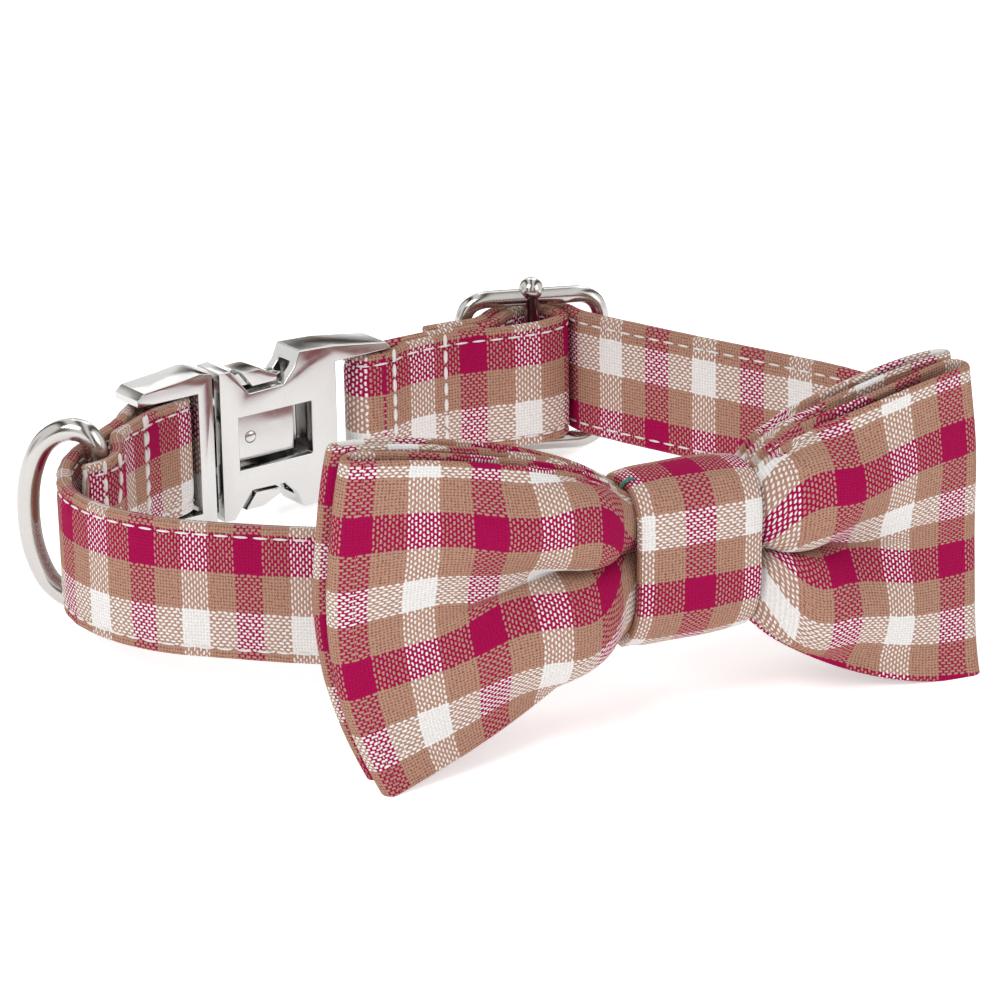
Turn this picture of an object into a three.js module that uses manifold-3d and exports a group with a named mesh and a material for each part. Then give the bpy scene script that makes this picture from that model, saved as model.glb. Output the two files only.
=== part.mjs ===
// A dog collar with a bow tie, closed and standing on its lower edge.
//
// Millimetres, +Z up. The origin is the middle of the footprint, on the surface the collar stands on.
// +X runs to the right of the bow as seen from its front, and the bow faces -Y.

import * as THREE from 'three';
import { mergeVertices } from 'three/addons/utils/BufferGeometryUtils.js';
import Module from 'manifold-3d';

const wasm = await Module();
wasm.setup();

// The strap: webbing in a cloth sleeve. It is squeezed a little where it goes through the buckle.
const STRAP = { thickness: 2.4, half: 12.5 };

// The band of the collar lies in a plane that is nearly level, higher at the bow than at the slider.
const BAND_PLANE = { height: 19.85, dropPerY: 0.0409, risePerX: 0.0168 };

// Moves everything so that the origin is the middle of the footprint.
const FOOTPRINT_MIDDLE = { x: -1.45, y: 1.8 };

// The main strap's centre line seen from above, from its free end at the slider round the neck
// to the end that is folded round the buckle's left bar. half is half its height there.
const MAIN_STRAP_STATIONS = [
  { at: 'free end', x: -14.4, y: 66.9, half: 12.5 },
  { at: 'inside the left slider bar', x: -9.4, y: 69.4, half: 12.5 },
  { at: 'rising', x: -4.4, y: 71.7, half: 12.5 },
  { at: 'over the pin, left', x: -1.0, y: 78.2, half: 12.5 },
  { at: 'over the pin', x: 5.3, y: 83.3, half: 12.5 },
  { at: 'over the pin, right', x: 12.4, y: 81.1, half: 12.5 },
  { at: 'inside the right slider bar', x: 16.4, y: 75.4, half: 12.5 },
  { at: 'back, near the slider', x: 23.0, y: 69.5, half: 12.5 },
  { at: 'back', x: 37.7, y: 57.9, half: 12.5 },
  { at: 'back, middle', x: 52.5, y: 46.7, half: 12.5 },
  { at: 'back, right', x: 66.8, y: 34.8, half: 12.5 },
  { at: 'right, rear', x: 77.3, y: 23.6, half: 12.5 },
  { at: 'right', x: 79.6, y: 9.6, half: 12.5 },
  { at: 'right, front', x: 70.0, y: -5.6, half: 12.5 },
  { at: 'behind the right wing', x: 52.0, y: -18.8, half: 12.5 },
  { at: 'behind the knot, right', x: 31.4, y: -30.6, half: 12.5 },
  { at: 'behind the knot, left', x: 19.4, y: -36.6, half: 12.5 },
  { at: 'behind the left wing', x: 7.0, y: -42.0, half: 12.5 },
  { at: 'front, middle', x: -5.0, y: -46.0, half: 12.5 },
  { at: 'front', x: -18.0, y: -47.6, half: 12.5 },
  { at: 'front, left of the wing', x: -31.0, y: -46.9, half: 12.5 },
  { at: 'front, left', x: -45.0, y: -44.2, half: 12.5 },
  { at: 'front corner', x: -59.2, y: -39.9, half: 12.5 },
  { at: 'left corner', x: -69.6, y: -32.6, half: 12.5 },
  { at: 'left, front', x: -75.6, y: -23.6, half: 12.5 },
  { at: 'left', x: -77.3, y: -13.5, half: 12.5 },
  { at: 'past the ring', x: -76.4, y: -4.5, half: 12.5 },
  { at: 'left, rear', x: -72.9, y: 5.4, half: 12.5 },
  { at: 'before the buckle', x: -69.9, y: 15.4, half: 12.0 },
  { at: 'into the buckle', x: -69.4, y: 21.1, half: 11.4 },
  { at: 'along the outside of the frame', x: -68.1, y: 26.4, half: 11.4 },
  { at: 'outside of the left bar', x: -66.1, y: 30.1, half: 11.4 },
  { at: 'past the left bar', x: -63.8, y: 31.9, half: 11.4 },
  { at: 'fold, outer', x: -61.6, y: 32.2, half: 11.4 },
  { at: 'fold', x: -59.8, y: 30.8, half: 11.4 },
  { at: 'fold, inner', x: -59.1, y: 28.4, half: 11.4 },
  { at: 'inside of the left bar', x: -60.6, y: 26.0, half: 11.4 },
  { at: 'along the inside of the frame', x: -63.6, y: 22.3, half: 11.4 },
  { at: 'out of the buckle', x: -65.7, y: 18.2, half: 11.6 },
  { at: 'folded back, seam', x: -66.6, y: 14.6, half: 12.0 },
  { at: 'folded back, before the ring', x: -69.6, y: 5.6, half: 12.5 },
  { at: 'folded back, over the ring', x: -68.5, y: -4.4, half: 12.5 },
  { at: 'folded back, after the ring', x: -70.1, y: -9.4, half: 12.5 },
  { at: 'folded end', x: -73.6, y: -12.6, half: 12.5 },
];

// The short loop of strap between the buckle's right bar and the slider's pin, seen from above.
const LOOP_STRAP_STATIONS = [
  { at: 'inside of the buckle bar', x: -23.1, y: 54.1, half: 11.4 },
  { at: 'inner side, out of the buckle', x: -21.1, y: 55.5, half: 11.5 },
  { at: 'inner side, seam', x: -18.4, y: 57.3, half: 12.2 },
  { at: 'inner side, second seam', x: -10.9, y: 61.6, half: 12.5 },
  { at: 'inner side', x: -5.4, y: 63.9, half: 12.5 },
  { at: 'inner side, before the pin', x: 2.6, y: 66.4, half: 12.5 },
  { at: 'fold, inner', x: 9.2, y: 69.8, half: 12.5 },
  { at: 'fold', x: 12.3, y: 74.2, half: 12.5 },
  { at: 'fold, outer', x: 10.2, y: 78.7, half: 12.5 },
  { at: 'over the pin', x: 5.6, y: 80.2, half: 12.5 },
  { at: 'outer side, after the pin', x: 1.2, y: 76.3, half: 12.5 },
  { at: 'outer side', x: -2.5, y: 69.5, half: 12.5 },
  { at: 'outer side, closing', x: -7.3, y: 66.8, half: 12.5 },
  { at: 'outer side, second seam', x: -12.4, y: 64.2, half: 12.5 },
  { at: 'outer side, seam', x: -19.5, y: 60.6, half: 12.2 },
  { at: 'out of the buckle', x: -23.4, y: 60.0, half: 11.6 },
  { at: 'outside of the buckle bar', x: -26.6, y: 59.2, half: 11.4 },
  { at: 'buckle fold, outer', x: -28.7, y: 56.9, half: 11.4 },
  { at: 'buckle fold', x: -28.2, y: 54.1, half: 11.4 },
  { at: 'buckle fold, inner', x: -25.9, y: 52.9, half: 11.4 },
];

// The side-release buckle, in its own frame: s along the band, n through its thickness, z up.
const BUCKLE = {
  x: -66.8,
  y: 20.6,
  turnDeg: 36.6,
  depth: 8,
  wall: 2.2,
  barHalfLength: 1.6,
  barHalfDepth: 1.1,
  slotHalf: 11.9,
  shoulderHalf: 15.7,
  endHalf: 13.5,
};
const MALE = { start: 0, barAt: 8.5, slotEnd: 13.2, end: 16.4, tongueEnd: 36, tongueHalf: 4.4 };
const FEMALE = { start: 18, slotStart: 44.4, barAt: 54.6, end: 57.3, windowStart: 22, windowEnd: 38.6 };
const FEMALE_WINDOW_HALF = 5.2;
const PRONG = { clearance: 0.5, buttonClearance: 0.8 };

// The slider: a rounded wire frame with a middle pin that ends in a ball on top.
const SLIDER = { x: 6.4, y: 77, turnDeg: 9.5, width: 31, height: 33.6, wire: 3.4, corner: 5.5 };
const SLIDER_PIN = { radius: 1.5, ballRadius: 2.5, ballAt: 16.6, neckRadius: 1.9 };

// The D-ring, whose straight bar lies in the pocket of the folded strap.
const D_RING = { x: -72.4, y: -4.7, turnDeg: 168.7, wire: 4.2 };
const D_RING_OUTLINE = [
  { out: 0, up: 0 },
  { out: 0, up: 6.6 },
  { out: 0, up: 12.9 },
  { out: 1.7, up: 15.7 },
  { out: 5.4, up: 16.1 },
  { out: 9.6, up: 13.4 },
  { out: 12.3, up: 7.6 },
  { out: 13.2, up: 0 },
];

// The bow, in its own frame: u along it to the right, w to its front, z up from the knot's middle.
const BOW = { x: 29.9, y: -43.7, z: 27.5, turnDeg: 23.5, cloth: 1.4, knotHalf: 12.5 };
// flare is how far the lower corner comes forward. The end's outline is roundBase + roundLean v
// + roundBow v v, with v from -1 at the lower edge to 1 at the upper.
const WINGS = {
  left: { reach: 64.3, flare: 8.8, roundBase: 1.5, roundLean: 2.1, roundBow: -4.4 },
  right: { reach: 55.4, flare: 4.0, roundBase: 0, roundLean: -0.75, roundBow: -0.75 },
};
const FLARE_ONSET = 0.35;
const TOP_LEAN = 1.6;
// The upper and lower edges of a bow piece, in the knot and at the wings' ends. A swell under 1
// makes the cloth spread early.
const BOW_EDGES = { knotTop: 12.1, knotBottom: 10.4, endTop: 28.1, endBottom: 27.5, swell: 0.42 };
// How far each of the two bow pieces lies to the front: in the knot, more in mid-wing, at the ends.
// knotHalf, belly and spread are half its depth in the knot, and what mid-wing and the end add.
const BOW_PIECES = [
  { name: 'bow_front', knot: 2.36, mid: 1.95, end: 5.0, knotHalf: 0.95, belly: 2.0, spread: 1.0 },
  { name: 'bow_back', knot: -2.44, mid: -1.1, end: -0.85, knotHalf: 0.95, belly: 1.2, spread: 0 },
];
const BELLY_ROUNDNESS = 0.8;
// The gathers: how deep the crease along the middle is in the knot, and beyond it.
const PLEAT = {
  knot: 2.2, knotFade: 0.85, wing: 300, onset: 1.5, fade: 7, forward: 0.74, fullness: 0.85,
};
const WING_END = { cap: 3.2, capSteps: 3 };
const BOW_STEPS = { wing: 10, knot: 4, rows: 8 };

const KNOT = { half: 12.5, wall: 1.8, bulge: 0.7, steps: 24 };
const KNOT_SECTION = [
  { at: 'top, front', w: 4.8, z: 14.9 },
  { at: 'front, top', w: 7.5, z: 11.6 },
  { at: 'front', w: 8.0, z: 3.0 },
  { at: 'front, bottom', w: 7.6, z: -7.0 },
  { at: 'slope', w: 4.4, z: -12.4 },
  { at: 'bottom', w: -1.0, z: -15.2 },
  { at: 'back, bottom', w: -5.6, z: -13.2 },
  { at: 'back, low', w: -6.9, z: -8.0 },
  { at: 'back', w: -6.9, z: 0 },
  { at: 'back, high', w: -6.9, z: 9.0 },
  { at: 'back, top', w: -6.4, z: 14.0 },
  { at: 'top', w: -1.4, z: 15.7 },
];

// The band behind the knot that holds the bow on the strap.
const BOW_LOOP = { x: 25.4, y: -33.75, turnDeg: 26.6, half: 6, wall: 1, clearance: 0.4 };

const CLOTH_COLOURS = { strap: '#c98aa0', bow: '#c67d98', knot: '#cf9aa8' };
const METAL_COLOUR = '#c9c8c4';

const cloth = (colour) => new THREE.MeshStandardMaterial({ color: colour, roughness: 0.9, metalness: 0 });
const metal = () => new THREE.MeshStandardMaterial({ color: METAL_COLOUR, roughness: 0.22, metalness: 1 });
const radians = THREE.MathUtils.degToRad;

// A closed body lofted through rings of points. A ring is a list of Vector3, and all have the same
// count. A closed loft joins its last ring to its first, and an open one gets two flat ends.
function loft(rings, closed) {
  const count = rings[0].length;
  const positions = rings.flat().flatMap((point) => point.toArray());
  const triangles = [];
  const spans = closed ? rings.length : rings.length - 1;
  for (let i = 0; i < spans; i += 1) {
    const here = i * count;
    const next = ((i + 1) % rings.length) * count;
    for (let j = 0; j < count; j += 1) {
      const k = (j + 1) % count;
      triangles.push(here + j, here + k, next + k, here + j, next + k, next + j);
    }
  }
  if (!closed) {
    const last = (rings.length - 1) * count;
    for (let j = 1; j < count - 1; j += 1) {
      triangles.push(0, j + 1, j, last, last + j, last + j + 1);
    }
  }
  const geometry = new THREE.BufferGeometry();
  geometry.setAttribute('position', new THREE.Float32BufferAttribute(positions, 3));
  geometry.setIndex(signedVolume(positions, triangles) < 0 ? flipped(triangles) : triangles);
  return geometry;
}

function signedVolume(positions, triangles) {
  const corner = (index) => new THREE.Vector3().fromArray(positions, index * 3);
  let volume = 0;
  for (let i = 0; i < triangles.length; i += 3) {
    const [a, b, c] = [corner(triangles[i]), corner(triangles[i + 1]), corner(triangles[i + 2])];
    volume += a.dot(b.cross(c)) / 6;
  }
  return volume;
}

function flipped(triangles) {
  const turned = [];
  for (let i = 0; i < triangles.length; i += 3) {
    turned.push(triangles[i], triangles[i + 2], triangles[i + 1]);
  }
  return turned;
}

// A strap on edge, whose centre line runs through the stations.
function strap(stations, closed, steps) {
  const curve = new THREE.CatmullRomCurve3(
    stations.map(({ x, y, half }) => new THREE.Vector3(x, y, half)),
    closed,
  );
  const rings = [];
  const count = closed ? steps : steps + 1;
  for (let i = 0; i < count; i += 1) {
    const centre = curve.getPoint(i / steps);
    const along = curve.getTangent(i / steps).setZ(0).normalize();
    const reach = new THREE.Vector3(-along.y, along.x, 0).multiplyScalar(STRAP.thickness / 2);
    const place = (side, up) => new THREE.Vector3(
      centre.x + side * reach.x,
      centre.y + side * reach.y,
      up * centre.z,
    );
    rings.push([place(1, 1), place(-1, 1), place(-1, -1), place(1, -1)]);
  }
  return loft(rings, closed);
}

// A round wire along a closed curve that lies in the plane y = 0.
function wireRing(curve, diameter, steps, sides) {
  const rings = [];
  for (let i = 0; i < steps; i += 1) {
    const centre = curve.getPointAt(i / steps);
    const along = curve.getTangentAt(i / steps);
    const outward = new THREE.Vector3(along.z, 0, -along.x);
    const ring = [];
    for (let j = 0; j < sides; j += 1) {
      const angle = (2 * Math.PI * j) / sides;
      ring.push(centre.clone()
        .addScaledVector(outward, (Math.cos(angle) * diameter) / 2)
        .add(new THREE.Vector3(0, (Math.sin(angle) * diameter) / 2, 0)));
    }
    rings.push(ring);
  }
  return loft(rings, true);
}

function toManifold(geometry) {
  const bare = geometry.clone();
  bare.deleteAttribute('normal');
  bare.deleteAttribute('uv');
  const merged = mergeVertices(bare, 1e-4);
  return new wasm.Manifold(new wasm.Mesh({
    numProp: 3,
    vertProperties: Float32Array.from(merged.attributes.position.array),
    triVerts: Uint32Array.from(merged.index.array),
  }));
}

function toGeometry(solid) {
  const mesh = solid.getMesh();
  const geometry = new THREE.BufferGeometry();
  geometry.setAttribute('position', new THREE.BufferAttribute(mesh.vertProperties, 3));
  geometry.setIndex(new THREE.BufferAttribute(mesh.triVerts, 1));
  return geometry;
}

// A flat plate in the buckle's frame: an outline in s and z, and its two depths in n.
function plate(outline, near, far) {
  const shape = new THREE.Shape(outline.map(([s, z]) => new THREE.Vector2(s, z)));
  const geometry = new THREE.ExtrudeGeometry(shape, { depth: far - near, bevelEnabled: false });
  return toManifold(geometry.rotateX(Math.PI / 2).translate(0, far, 0));
}

function block(s0, s1, near, far, z0, z1) {
  return plate([[s0, z0], [s1, z0], [s1, z1], [s0, z1]], near, far);
}

// The outline whose upper half is given from left to right, completed by its mirror image below.
function mirrored(upper) {
  return [...upper, ...upper.map(([s, z]) => [s, -z]).reverse()];
}

// Opens the strap's slot on one side of a bar and the frame's end on the other, and thins the bar.
function withStrapBar(body, slotFar, end, barAt) {
  const middle = BUCKLE.depth / 2;
  const half = BUCKLE.slotHalf;
  const beyond = 2 * Math.sign(end - barAt);
  const barStart = barAt - BUCKLE.barHalfLength;
  const barEnd = barAt + BUCKLE.barHalfLength;
  const left = Math.min(slotFar, end + beyond);
  const right = Math.max(slotFar, end + beyond);
  return body
    .subtract(block(left, barStart, -1, BUCKLE.depth + 1, -half, half))
    .subtract(block(barEnd, right, -1, BUCKLE.depth + 1, -half, half))
    .subtract(block(left, right, -1, middle - BUCKLE.barHalfDepth, -half, half))
    .subtract(block(left, right, middle + BUCKLE.barHalfDepth, BUCKLE.depth + 1, -half, half));
}

// The buckle's left half: strap frame, two sprung prongs with their thumb buttons, and a tongue.
function maleBuckle() {
  const { barAt, slotEnd, end, tongueEnd, tongueHalf } = MALE;
  const outline = mirrored([[0, 13.2], [1.4, 14.4], [9, 15.1], [13.6, BUCKLE.shoulderHalf], [end, 15.2]]);
  const frame = withStrapBar(plate(outline, 0, BUCKLE.depth), slotEnd, MALE.start, barAt);
  const near = BUCKLE.wall + PRONG.clearance;
  const far = BUCKLE.depth - BUCKLE.wall - PRONG.clearance;
  const arm = [
    [end - 0.5, 10.9],
    [23.6, 10.4],
    [33.0, 10.5],
    [33.6, 11.6],
    [31.4, 12.2],
    [27.0, 13.3],
    [22.0, 12.9],
    [end - 0.5, 12.9],
  ];
  const button = [[23.5, 13.7], [25.9, 10.6], [31.2, 10.7], [31.6, 11.9], [27.4, 13.7]];
  const below = (outlinePoints) => outlinePoints.map(([s, z]) => [s, -z]).reverse();
  const buttonNear = PRONG.buttonClearance;
  const buttonFar = BUCKLE.depth - PRONG.buttonClearance;
  return frame
    .add(plate(arm, near, far))
    .add(plate(below(arm), near, far))
    .add(plate(button, buttonNear, buttonFar))
    .add(plate(below(button), buttonNear, buttonFar))
    .add(block(end - 0.5, tongueEnd, near, far, -tongueHalf, tongueHalf));
}

// The buckle's right half: a housing with thumb notches and a window, and its strap frame.
function femaleBuckle() {
  const { start, slotStart, barAt, end, windowStart, windowEnd } = FEMALE;
  const windowHalf = FEMALE_WINDOW_HALF;
  const outline = mirrored([
    [start, 14.7],
    [20.4, 14.9],
    [24.6, 9.7],
    [32.4, 9.9],
    [34.9, 12.6],
    [36.3, BUCKLE.shoulderHalf],
    [44, 15.3],
    [56.2, BUCKLE.endHalf],
    [end, 12.4],
  ]);
  const housing = plate(outline, 0, BUCKLE.depth)
    .subtract(block(start - 1, windowEnd, BUCKLE.wall, BUCKLE.depth - BUCKLE.wall, -13.3, 13.3))
    .subtract(block(windowStart, windowEnd, -1, BUCKLE.wall + 0.5, -windowHalf, windowHalf));
  return withStrapBar(housing, slotStart, end, barAt);
}

function slider() {
  const halfWidth = (SLIDER.width - SLIDER.wire) / 2;
  const halfHeight = (SLIDER.height - SLIDER.wire) / 2;
  const path = new THREE.CurvePath();
  const corner = SLIDER.corner;
  const point = (x, z) => new THREE.Vector3(x, 0, z);
  const corners = [[1, -1], [1, 1], [-1, 1], [-1, -1]];
  corners.forEach(([sx, sz], index) => {
    const [nx, nz] = corners[(index + 1) % 4];
    const outer = point(sx * halfWidth, sz * halfHeight);
    const nextOuter = point(nx * halfWidth, nz * halfHeight);
    const along = nextOuter.clone().sub(outer).normalize();
    const [px, pz] = corners[(index + 3) % 4];
    const back = point(px * halfWidth, pz * halfHeight).sub(outer).normalize();
    const from = outer.clone().addScaledVector(back, corner);
    const to = outer.clone().addScaledVector(along, corner);
    path.add(new THREE.QuadraticBezierCurve3(from, outer, to));
    path.add(new THREE.LineCurve3(to, nextOuter.clone().addScaledVector(along, -corner)));
  });
  const frame = toManifold(wireRing(path, SLIDER.wire, 48, 8));
  const { radius, ballRadius, ballAt, neckRadius } = SLIDER_PIN;
  const profile = [new THREE.Vector2(0, -halfHeight), new THREE.Vector2(radius, -halfHeight)];
  profile.push(new THREE.Vector2(radius, halfHeight - 3), new THREE.Vector2(neckRadius, halfHeight - 2));
  const ballSteps = 6;
  for (let i = 0; i <= ballSteps; i += 1) {
    const angle = THREE.MathUtils.lerp(radians(-40), radians(90), i / ballSteps);
    const out = i === ballSteps ? 0 : ballRadius * Math.cos(angle);
    profile.push(new THREE.Vector2(out, ballAt + ballRadius * Math.sin(angle)));
  }
  const pin = toManifold(new THREE.LatheGeometry(profile, 14).rotateX(Math.PI / 2));
  return toGeometry(frame.add(pin));
}

function dRing() {
  const upper = D_RING_OUTLINE;
  const lower = upper.slice(1, -1).map(({ out, up }) => ({ out, up: -up })).reverse();
  const points = [...upper, ...lower].map(({ out, up }) => new THREE.Vector3(out, 0, up));
  return wireRing(new THREE.CatmullRomCurve3(points, true), D_RING.wire, 44, 10);
}

// How far out along its wing a point lies: 0 at the knot's edge and 1 at the wing's end.
function wingShare(u) {
  const side = u < 0 ? 'left' : 'right';
  const share = (Math.abs(u) - BOW.knotHalf) / (WINGS[side].reach - BOW.knotHalf);
  return { side, share: THREE.MathUtils.clamp(share, 0, 1) };
}

// Half the depth of a bow piece, from its middle plane to the middle of its cloth.
function bowHalfDepth({ knotHalf, belly, spread }, share) {
  return knotHalf + belly * Math.sin(Math.PI * share) ** BELLY_ROUNDNESS + spread * share;
}

// How far the gathers push the cloth forward: a crease along the middle between two swells.
function pleat(share, v) {
  const knot = PLEAT.knot * (1 - PLEAT.knotFade * share);
  const wing = PLEAT.wing * share ** PLEAT.onset * Math.exp(-PLEAT.fade * share);
  const swell = Math.abs(Math.sin(Math.PI * v)) ** PLEAT.fullness;
  return (knot + wing) * (swell - 1 + PLEAT.forward);
}

// Places a point of a bow piece: u and w as cut, v from -1 at the lower edge to 1 at the upper.
function bowPoint(u, w, v) {
  const { side, share } = wingShare(u);
  const { flare, roundBase, roundLean, roundBow } = WINGS[side];
  const rise = share ** BOW_EDGES.swell;
  const upper = THREE.MathUtils.lerp(BOW_EDGES.knotTop, BOW_EDGES.endTop, rise);
  const lower = THREE.MathUtils.lerp(BOW_EDGES.knotBottom, BOW_EDGES.endBottom, rise);
  const round = roundBase + roundLean * v + roundBow * v * v;
  const low = Math.max(0, (-v - FLARE_ONSET) / (1 - FLARE_ONSET));
  const high = Math.max(0, v);
  const front = flare * low * low - TOP_LEAN * high * high;
  return new THREE.Vector3(
    u + (side === 'left' ? -round : round) * share * share,
    -(w + pleat(share, v) + front * share * share),
    v * (v < 0 ? lower : upper),
  );
}

// The stations along a bow piece's front, then round its right end, its back and its left end.
// turn is 0 on the front, a quarter turn at the tip of a wing and half a turn on the back.
function bowStations() {
  const { cap, capSteps } = WING_END;
  const left = -WINGS.left.reach + cap;
  const right = WINGS.right.reach - cap;
  const spans = [
    { from: left, to: -BOW.knotHalf, steps: BOW_STEPS.wing },
    { from: -BOW.knotHalf, to: BOW.knotHalf, steps: BOW_STEPS.knot },
    { from: BOW.knotHalf, to: right, steps: BOW_STEPS.wing },
  ];
  const front = [{ u: left, turn: 0 }];
  spans.forEach(({ from, to, steps }) => {
    for (let i = 1; i <= steps; i += 1) {
      front.push({ u: THREE.MathUtils.lerp(from, to, i / steps), turn: 0 });
    }
  });
  const end = (u) => Array.from({ length: 2 * capSteps - 1 }, (_, i) => (
    { u, turn: (Math.PI / 2) * ((i + 1) / capSteps) }
  ));
  const back = front.map(({ u }) => ({ u, turn: Math.PI })).reverse();
  return [...front, ...end(right), ...back, ...end(left).reverse()];
}

// A bow piece: a flat loop of cloth, open above and below, gathered at the knot.
function bowPiece({ knot, mid, end, ...depths }) {
  const { rows } = BOW_STEPS;
  const heights = Array.from({ length: rows + 1 }, (_, i) => (2 * i) / rows - 1);
  const rings = bowStations().map(({ u, turn }) => {
    const { share } = wingShare(u);
    const middle = THREE.MathUtils.lerp(knot, end, share) + mid * Math.sin(Math.PI * share);
    const face = (half, reach) => ({
      u: u + Math.sign(u) * reach * Math.sin(turn),
      w: middle + half * Math.cos(turn),
    });
    const half = bowHalfDepth(depths, share);
    const outer = face(half + BOW.cloth / 2, WING_END.cap);
    const inner = face(half - BOW.cloth / 2, WING_END.cap - BOW.cloth);
    return [
      ...heights.map((v) => bowPoint(outer.u, outer.w, v)),
      ...[...heights].reverse().map((v) => bowPoint(inner.u, inner.w, v)),
    ];
  });
  return loft(rings, true);
}

// The knot: a padded band round the middle of both bow pieces.
function bowKnot() {
  const section = new THREE.CatmullRomCurve3(
    KNOT_SECTION.map(({ w, z }) => new THREE.Vector3(0, -w, z)),
    true,
  );
  const across = [-1, -0.5, 0, 0.5, 1];
  const rings = [];
  for (let i = 0; i < KNOT.steps; i += 1) {
    const point = section.getPointAt(i / KNOT.steps);
    const along = section.getTangentAt(i / KNOT.steps);
    const outward = new THREE.Vector3(0, along.z, -along.y);
    const place = (share, rise) => point.clone()
      .addScaledVector(outward, rise)
      .setX(share * KNOT.half);
    rings.push([
      ...across.map((share) => place(share, KNOT.bulge * (1 - share * share))),
      ...[...across].reverse().map((share) => place(share, -KNOT.wall)),
    ]);
  }
  return loft(rings, true);
}

// The band that holds the bow: a flat sleeve round the strap, behind the knot.
function bowLoop() {
  const { half, wall, clearance } = BOW_LOOP;
  const sleeve = (length, grow) => toManifold(new THREE.BoxGeometry(
    length,
    STRAP.thickness + 2 * grow,
    2 * (STRAP.half + grow),
  ));
  const outside = sleeve(2 * half, clearance + wall);
  return toGeometry(outside.subtract(sleeve(3 * half, clearance)));
}

function named(name, geometry, material) {
  const mesh = new THREE.Mesh(geometry, material);
  mesh.name = name;
  return mesh;
}

function placed(mesh, { x, y, turnDeg }) {
  mesh.position.set(x, y, 0);
  mesh.rotation.z = radians(turnDeg);
  return mesh;
}

function band() {
  const group = new THREE.Group();
  group.add(named('main_strap', strap(MAIN_STRAP_STATIONS, false, 216), cloth(CLOTH_COLOURS.strap)));
  group.add(named('buckle_strap', strap(LOOP_STRAP_STATIONS, true, 95), cloth(CLOTH_COLOURS.strap)));
  group.add(placed(named('buckle_male', toGeometry(maleBuckle()), metal()), BUCKLE));
  group.add(placed(named('buckle_female', toGeometry(femaleBuckle()), metal()), BUCKLE));
  group.add(placed(named('slider', slider(), metal()), SLIDER));
  group.add(placed(named('d_ring', dRing(), metal()), D_RING));
  group.add(placed(named('bow_loop', bowLoop(), cloth(CLOTH_COLOURS.strap)), BOW_LOOP));
  const { height, dropPerY, risePerX } = BAND_PLANE;
  group.rotation.set(-Math.atan(dropPerY), -Math.atan(risePerX), 0);
  group.position.z = height;
  return group;
}

function bow() {
  const group = new THREE.Group();
  BOW_PIECES.forEach((piece) => {
    group.add(named(piece.name, bowPiece(piece), cloth(CLOTH_COLOURS.bow)));
  });
  group.add(named('bow_knot', bowKnot(), cloth(CLOTH_COLOURS.knot)));
  group.position.set(BOW.x, BOW.y, BOW.z);
  group.rotation.z = radians(BOW.turnDeg);
  return group;
}

const collar = new THREE.Group();
collar.add(band(), bow());
collar.position.set(-FOOTPRINT_MIDDLE.x, -FOOTPRINT_MIDDLE.y, 0);

export default collar;
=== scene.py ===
"""A plaid dog collar with a bow tie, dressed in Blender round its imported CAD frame.

Lengths are in millimetres in the tables, and metres in the meshes.
"""

import logging
import math
from dataclasses import dataclass, field
from enum import Enum
from typing import Sequence

import bmesh
import bpy
import numpy as np
from mathutils import Matrix, Vector


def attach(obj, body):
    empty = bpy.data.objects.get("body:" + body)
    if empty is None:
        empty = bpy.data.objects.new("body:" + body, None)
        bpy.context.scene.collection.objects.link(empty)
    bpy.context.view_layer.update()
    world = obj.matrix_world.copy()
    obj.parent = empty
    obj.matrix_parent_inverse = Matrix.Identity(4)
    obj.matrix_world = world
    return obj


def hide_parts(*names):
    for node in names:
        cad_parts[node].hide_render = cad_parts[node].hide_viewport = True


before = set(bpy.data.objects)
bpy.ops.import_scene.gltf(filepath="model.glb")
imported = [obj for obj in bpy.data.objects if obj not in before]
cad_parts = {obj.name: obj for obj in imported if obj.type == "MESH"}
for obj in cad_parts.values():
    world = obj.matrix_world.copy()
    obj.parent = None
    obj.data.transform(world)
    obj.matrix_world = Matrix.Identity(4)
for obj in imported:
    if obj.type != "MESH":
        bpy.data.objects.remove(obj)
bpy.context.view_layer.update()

log = logging.getLogger("collar")

MM = 0.001
Points = np.ndarray

FOOTPRINT_MIDDLE = (-1.45, 1.8)
BAND_HEIGHT = 19.85
BAND_DROP_PER_Y = 0.0409
BAND_RISE_PER_X = 0.0168
STRAP_THICKNESS = 2.4
STRAP_HALF = 12.5

# The strap's stations, as in the part's source: x, y, half the height.
MAIN_STRAP = (
    (-14.4, 66.9, 12.5), (-9.4, 69.4, 12.5), (-4.4, 71.7, 12.5), (-1.0, 78.2, 12.5),
    (5.3, 83.3, 12.5), (12.4, 81.1, 12.5), (16.4, 75.4, 12.5), (23.0, 69.5, 12.5),
    (37.7, 57.9, 12.5), (52.5, 46.7, 12.5), (66.8, 34.8, 12.5), (77.3, 23.6, 12.5),
    (79.6, 9.6, 12.5), (70.0, -5.6, 12.5), (52.0, -18.8, 12.5), (31.4, -30.6, 12.5),
    (19.4, -36.6, 12.5), (7.0, -42.0, 12.5), (-5.0, -46.0, 12.5), (-18.0, -47.6, 12.5),
    (-31.0, -46.9, 12.5), (-45.0, -44.2, 12.5), (-59.2, -39.9, 12.5), (-69.6, -32.6, 12.5),
    (-75.6, -23.6, 12.5), (-77.3, -13.5, 12.5), (-76.4, -4.5, 12.5), (-72.9, 5.4, 12.5),
    (-69.9, 15.4, 12.0), (-69.4, 21.1, 11.4), (-68.1, 26.4, 11.4), (-66.1, 30.1, 11.4),
    (-63.8, 31.9, 11.4), (-61.6, 32.2, 11.4), (-59.8, 30.8, 11.4), (-59.1, 28.4, 11.4),
    (-60.6, 26.0, 11.4), (-63.6, 22.3, 11.4), (-65.7, 18.2, 11.6), (-66.6, 14.6, 12.0),
    (-69.6, 5.6, 12.5), (-68.5, -4.4, 12.5),
    (-70.1, -9.4, 12.5), (-73.6, -12.6, 12.5),
)
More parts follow.
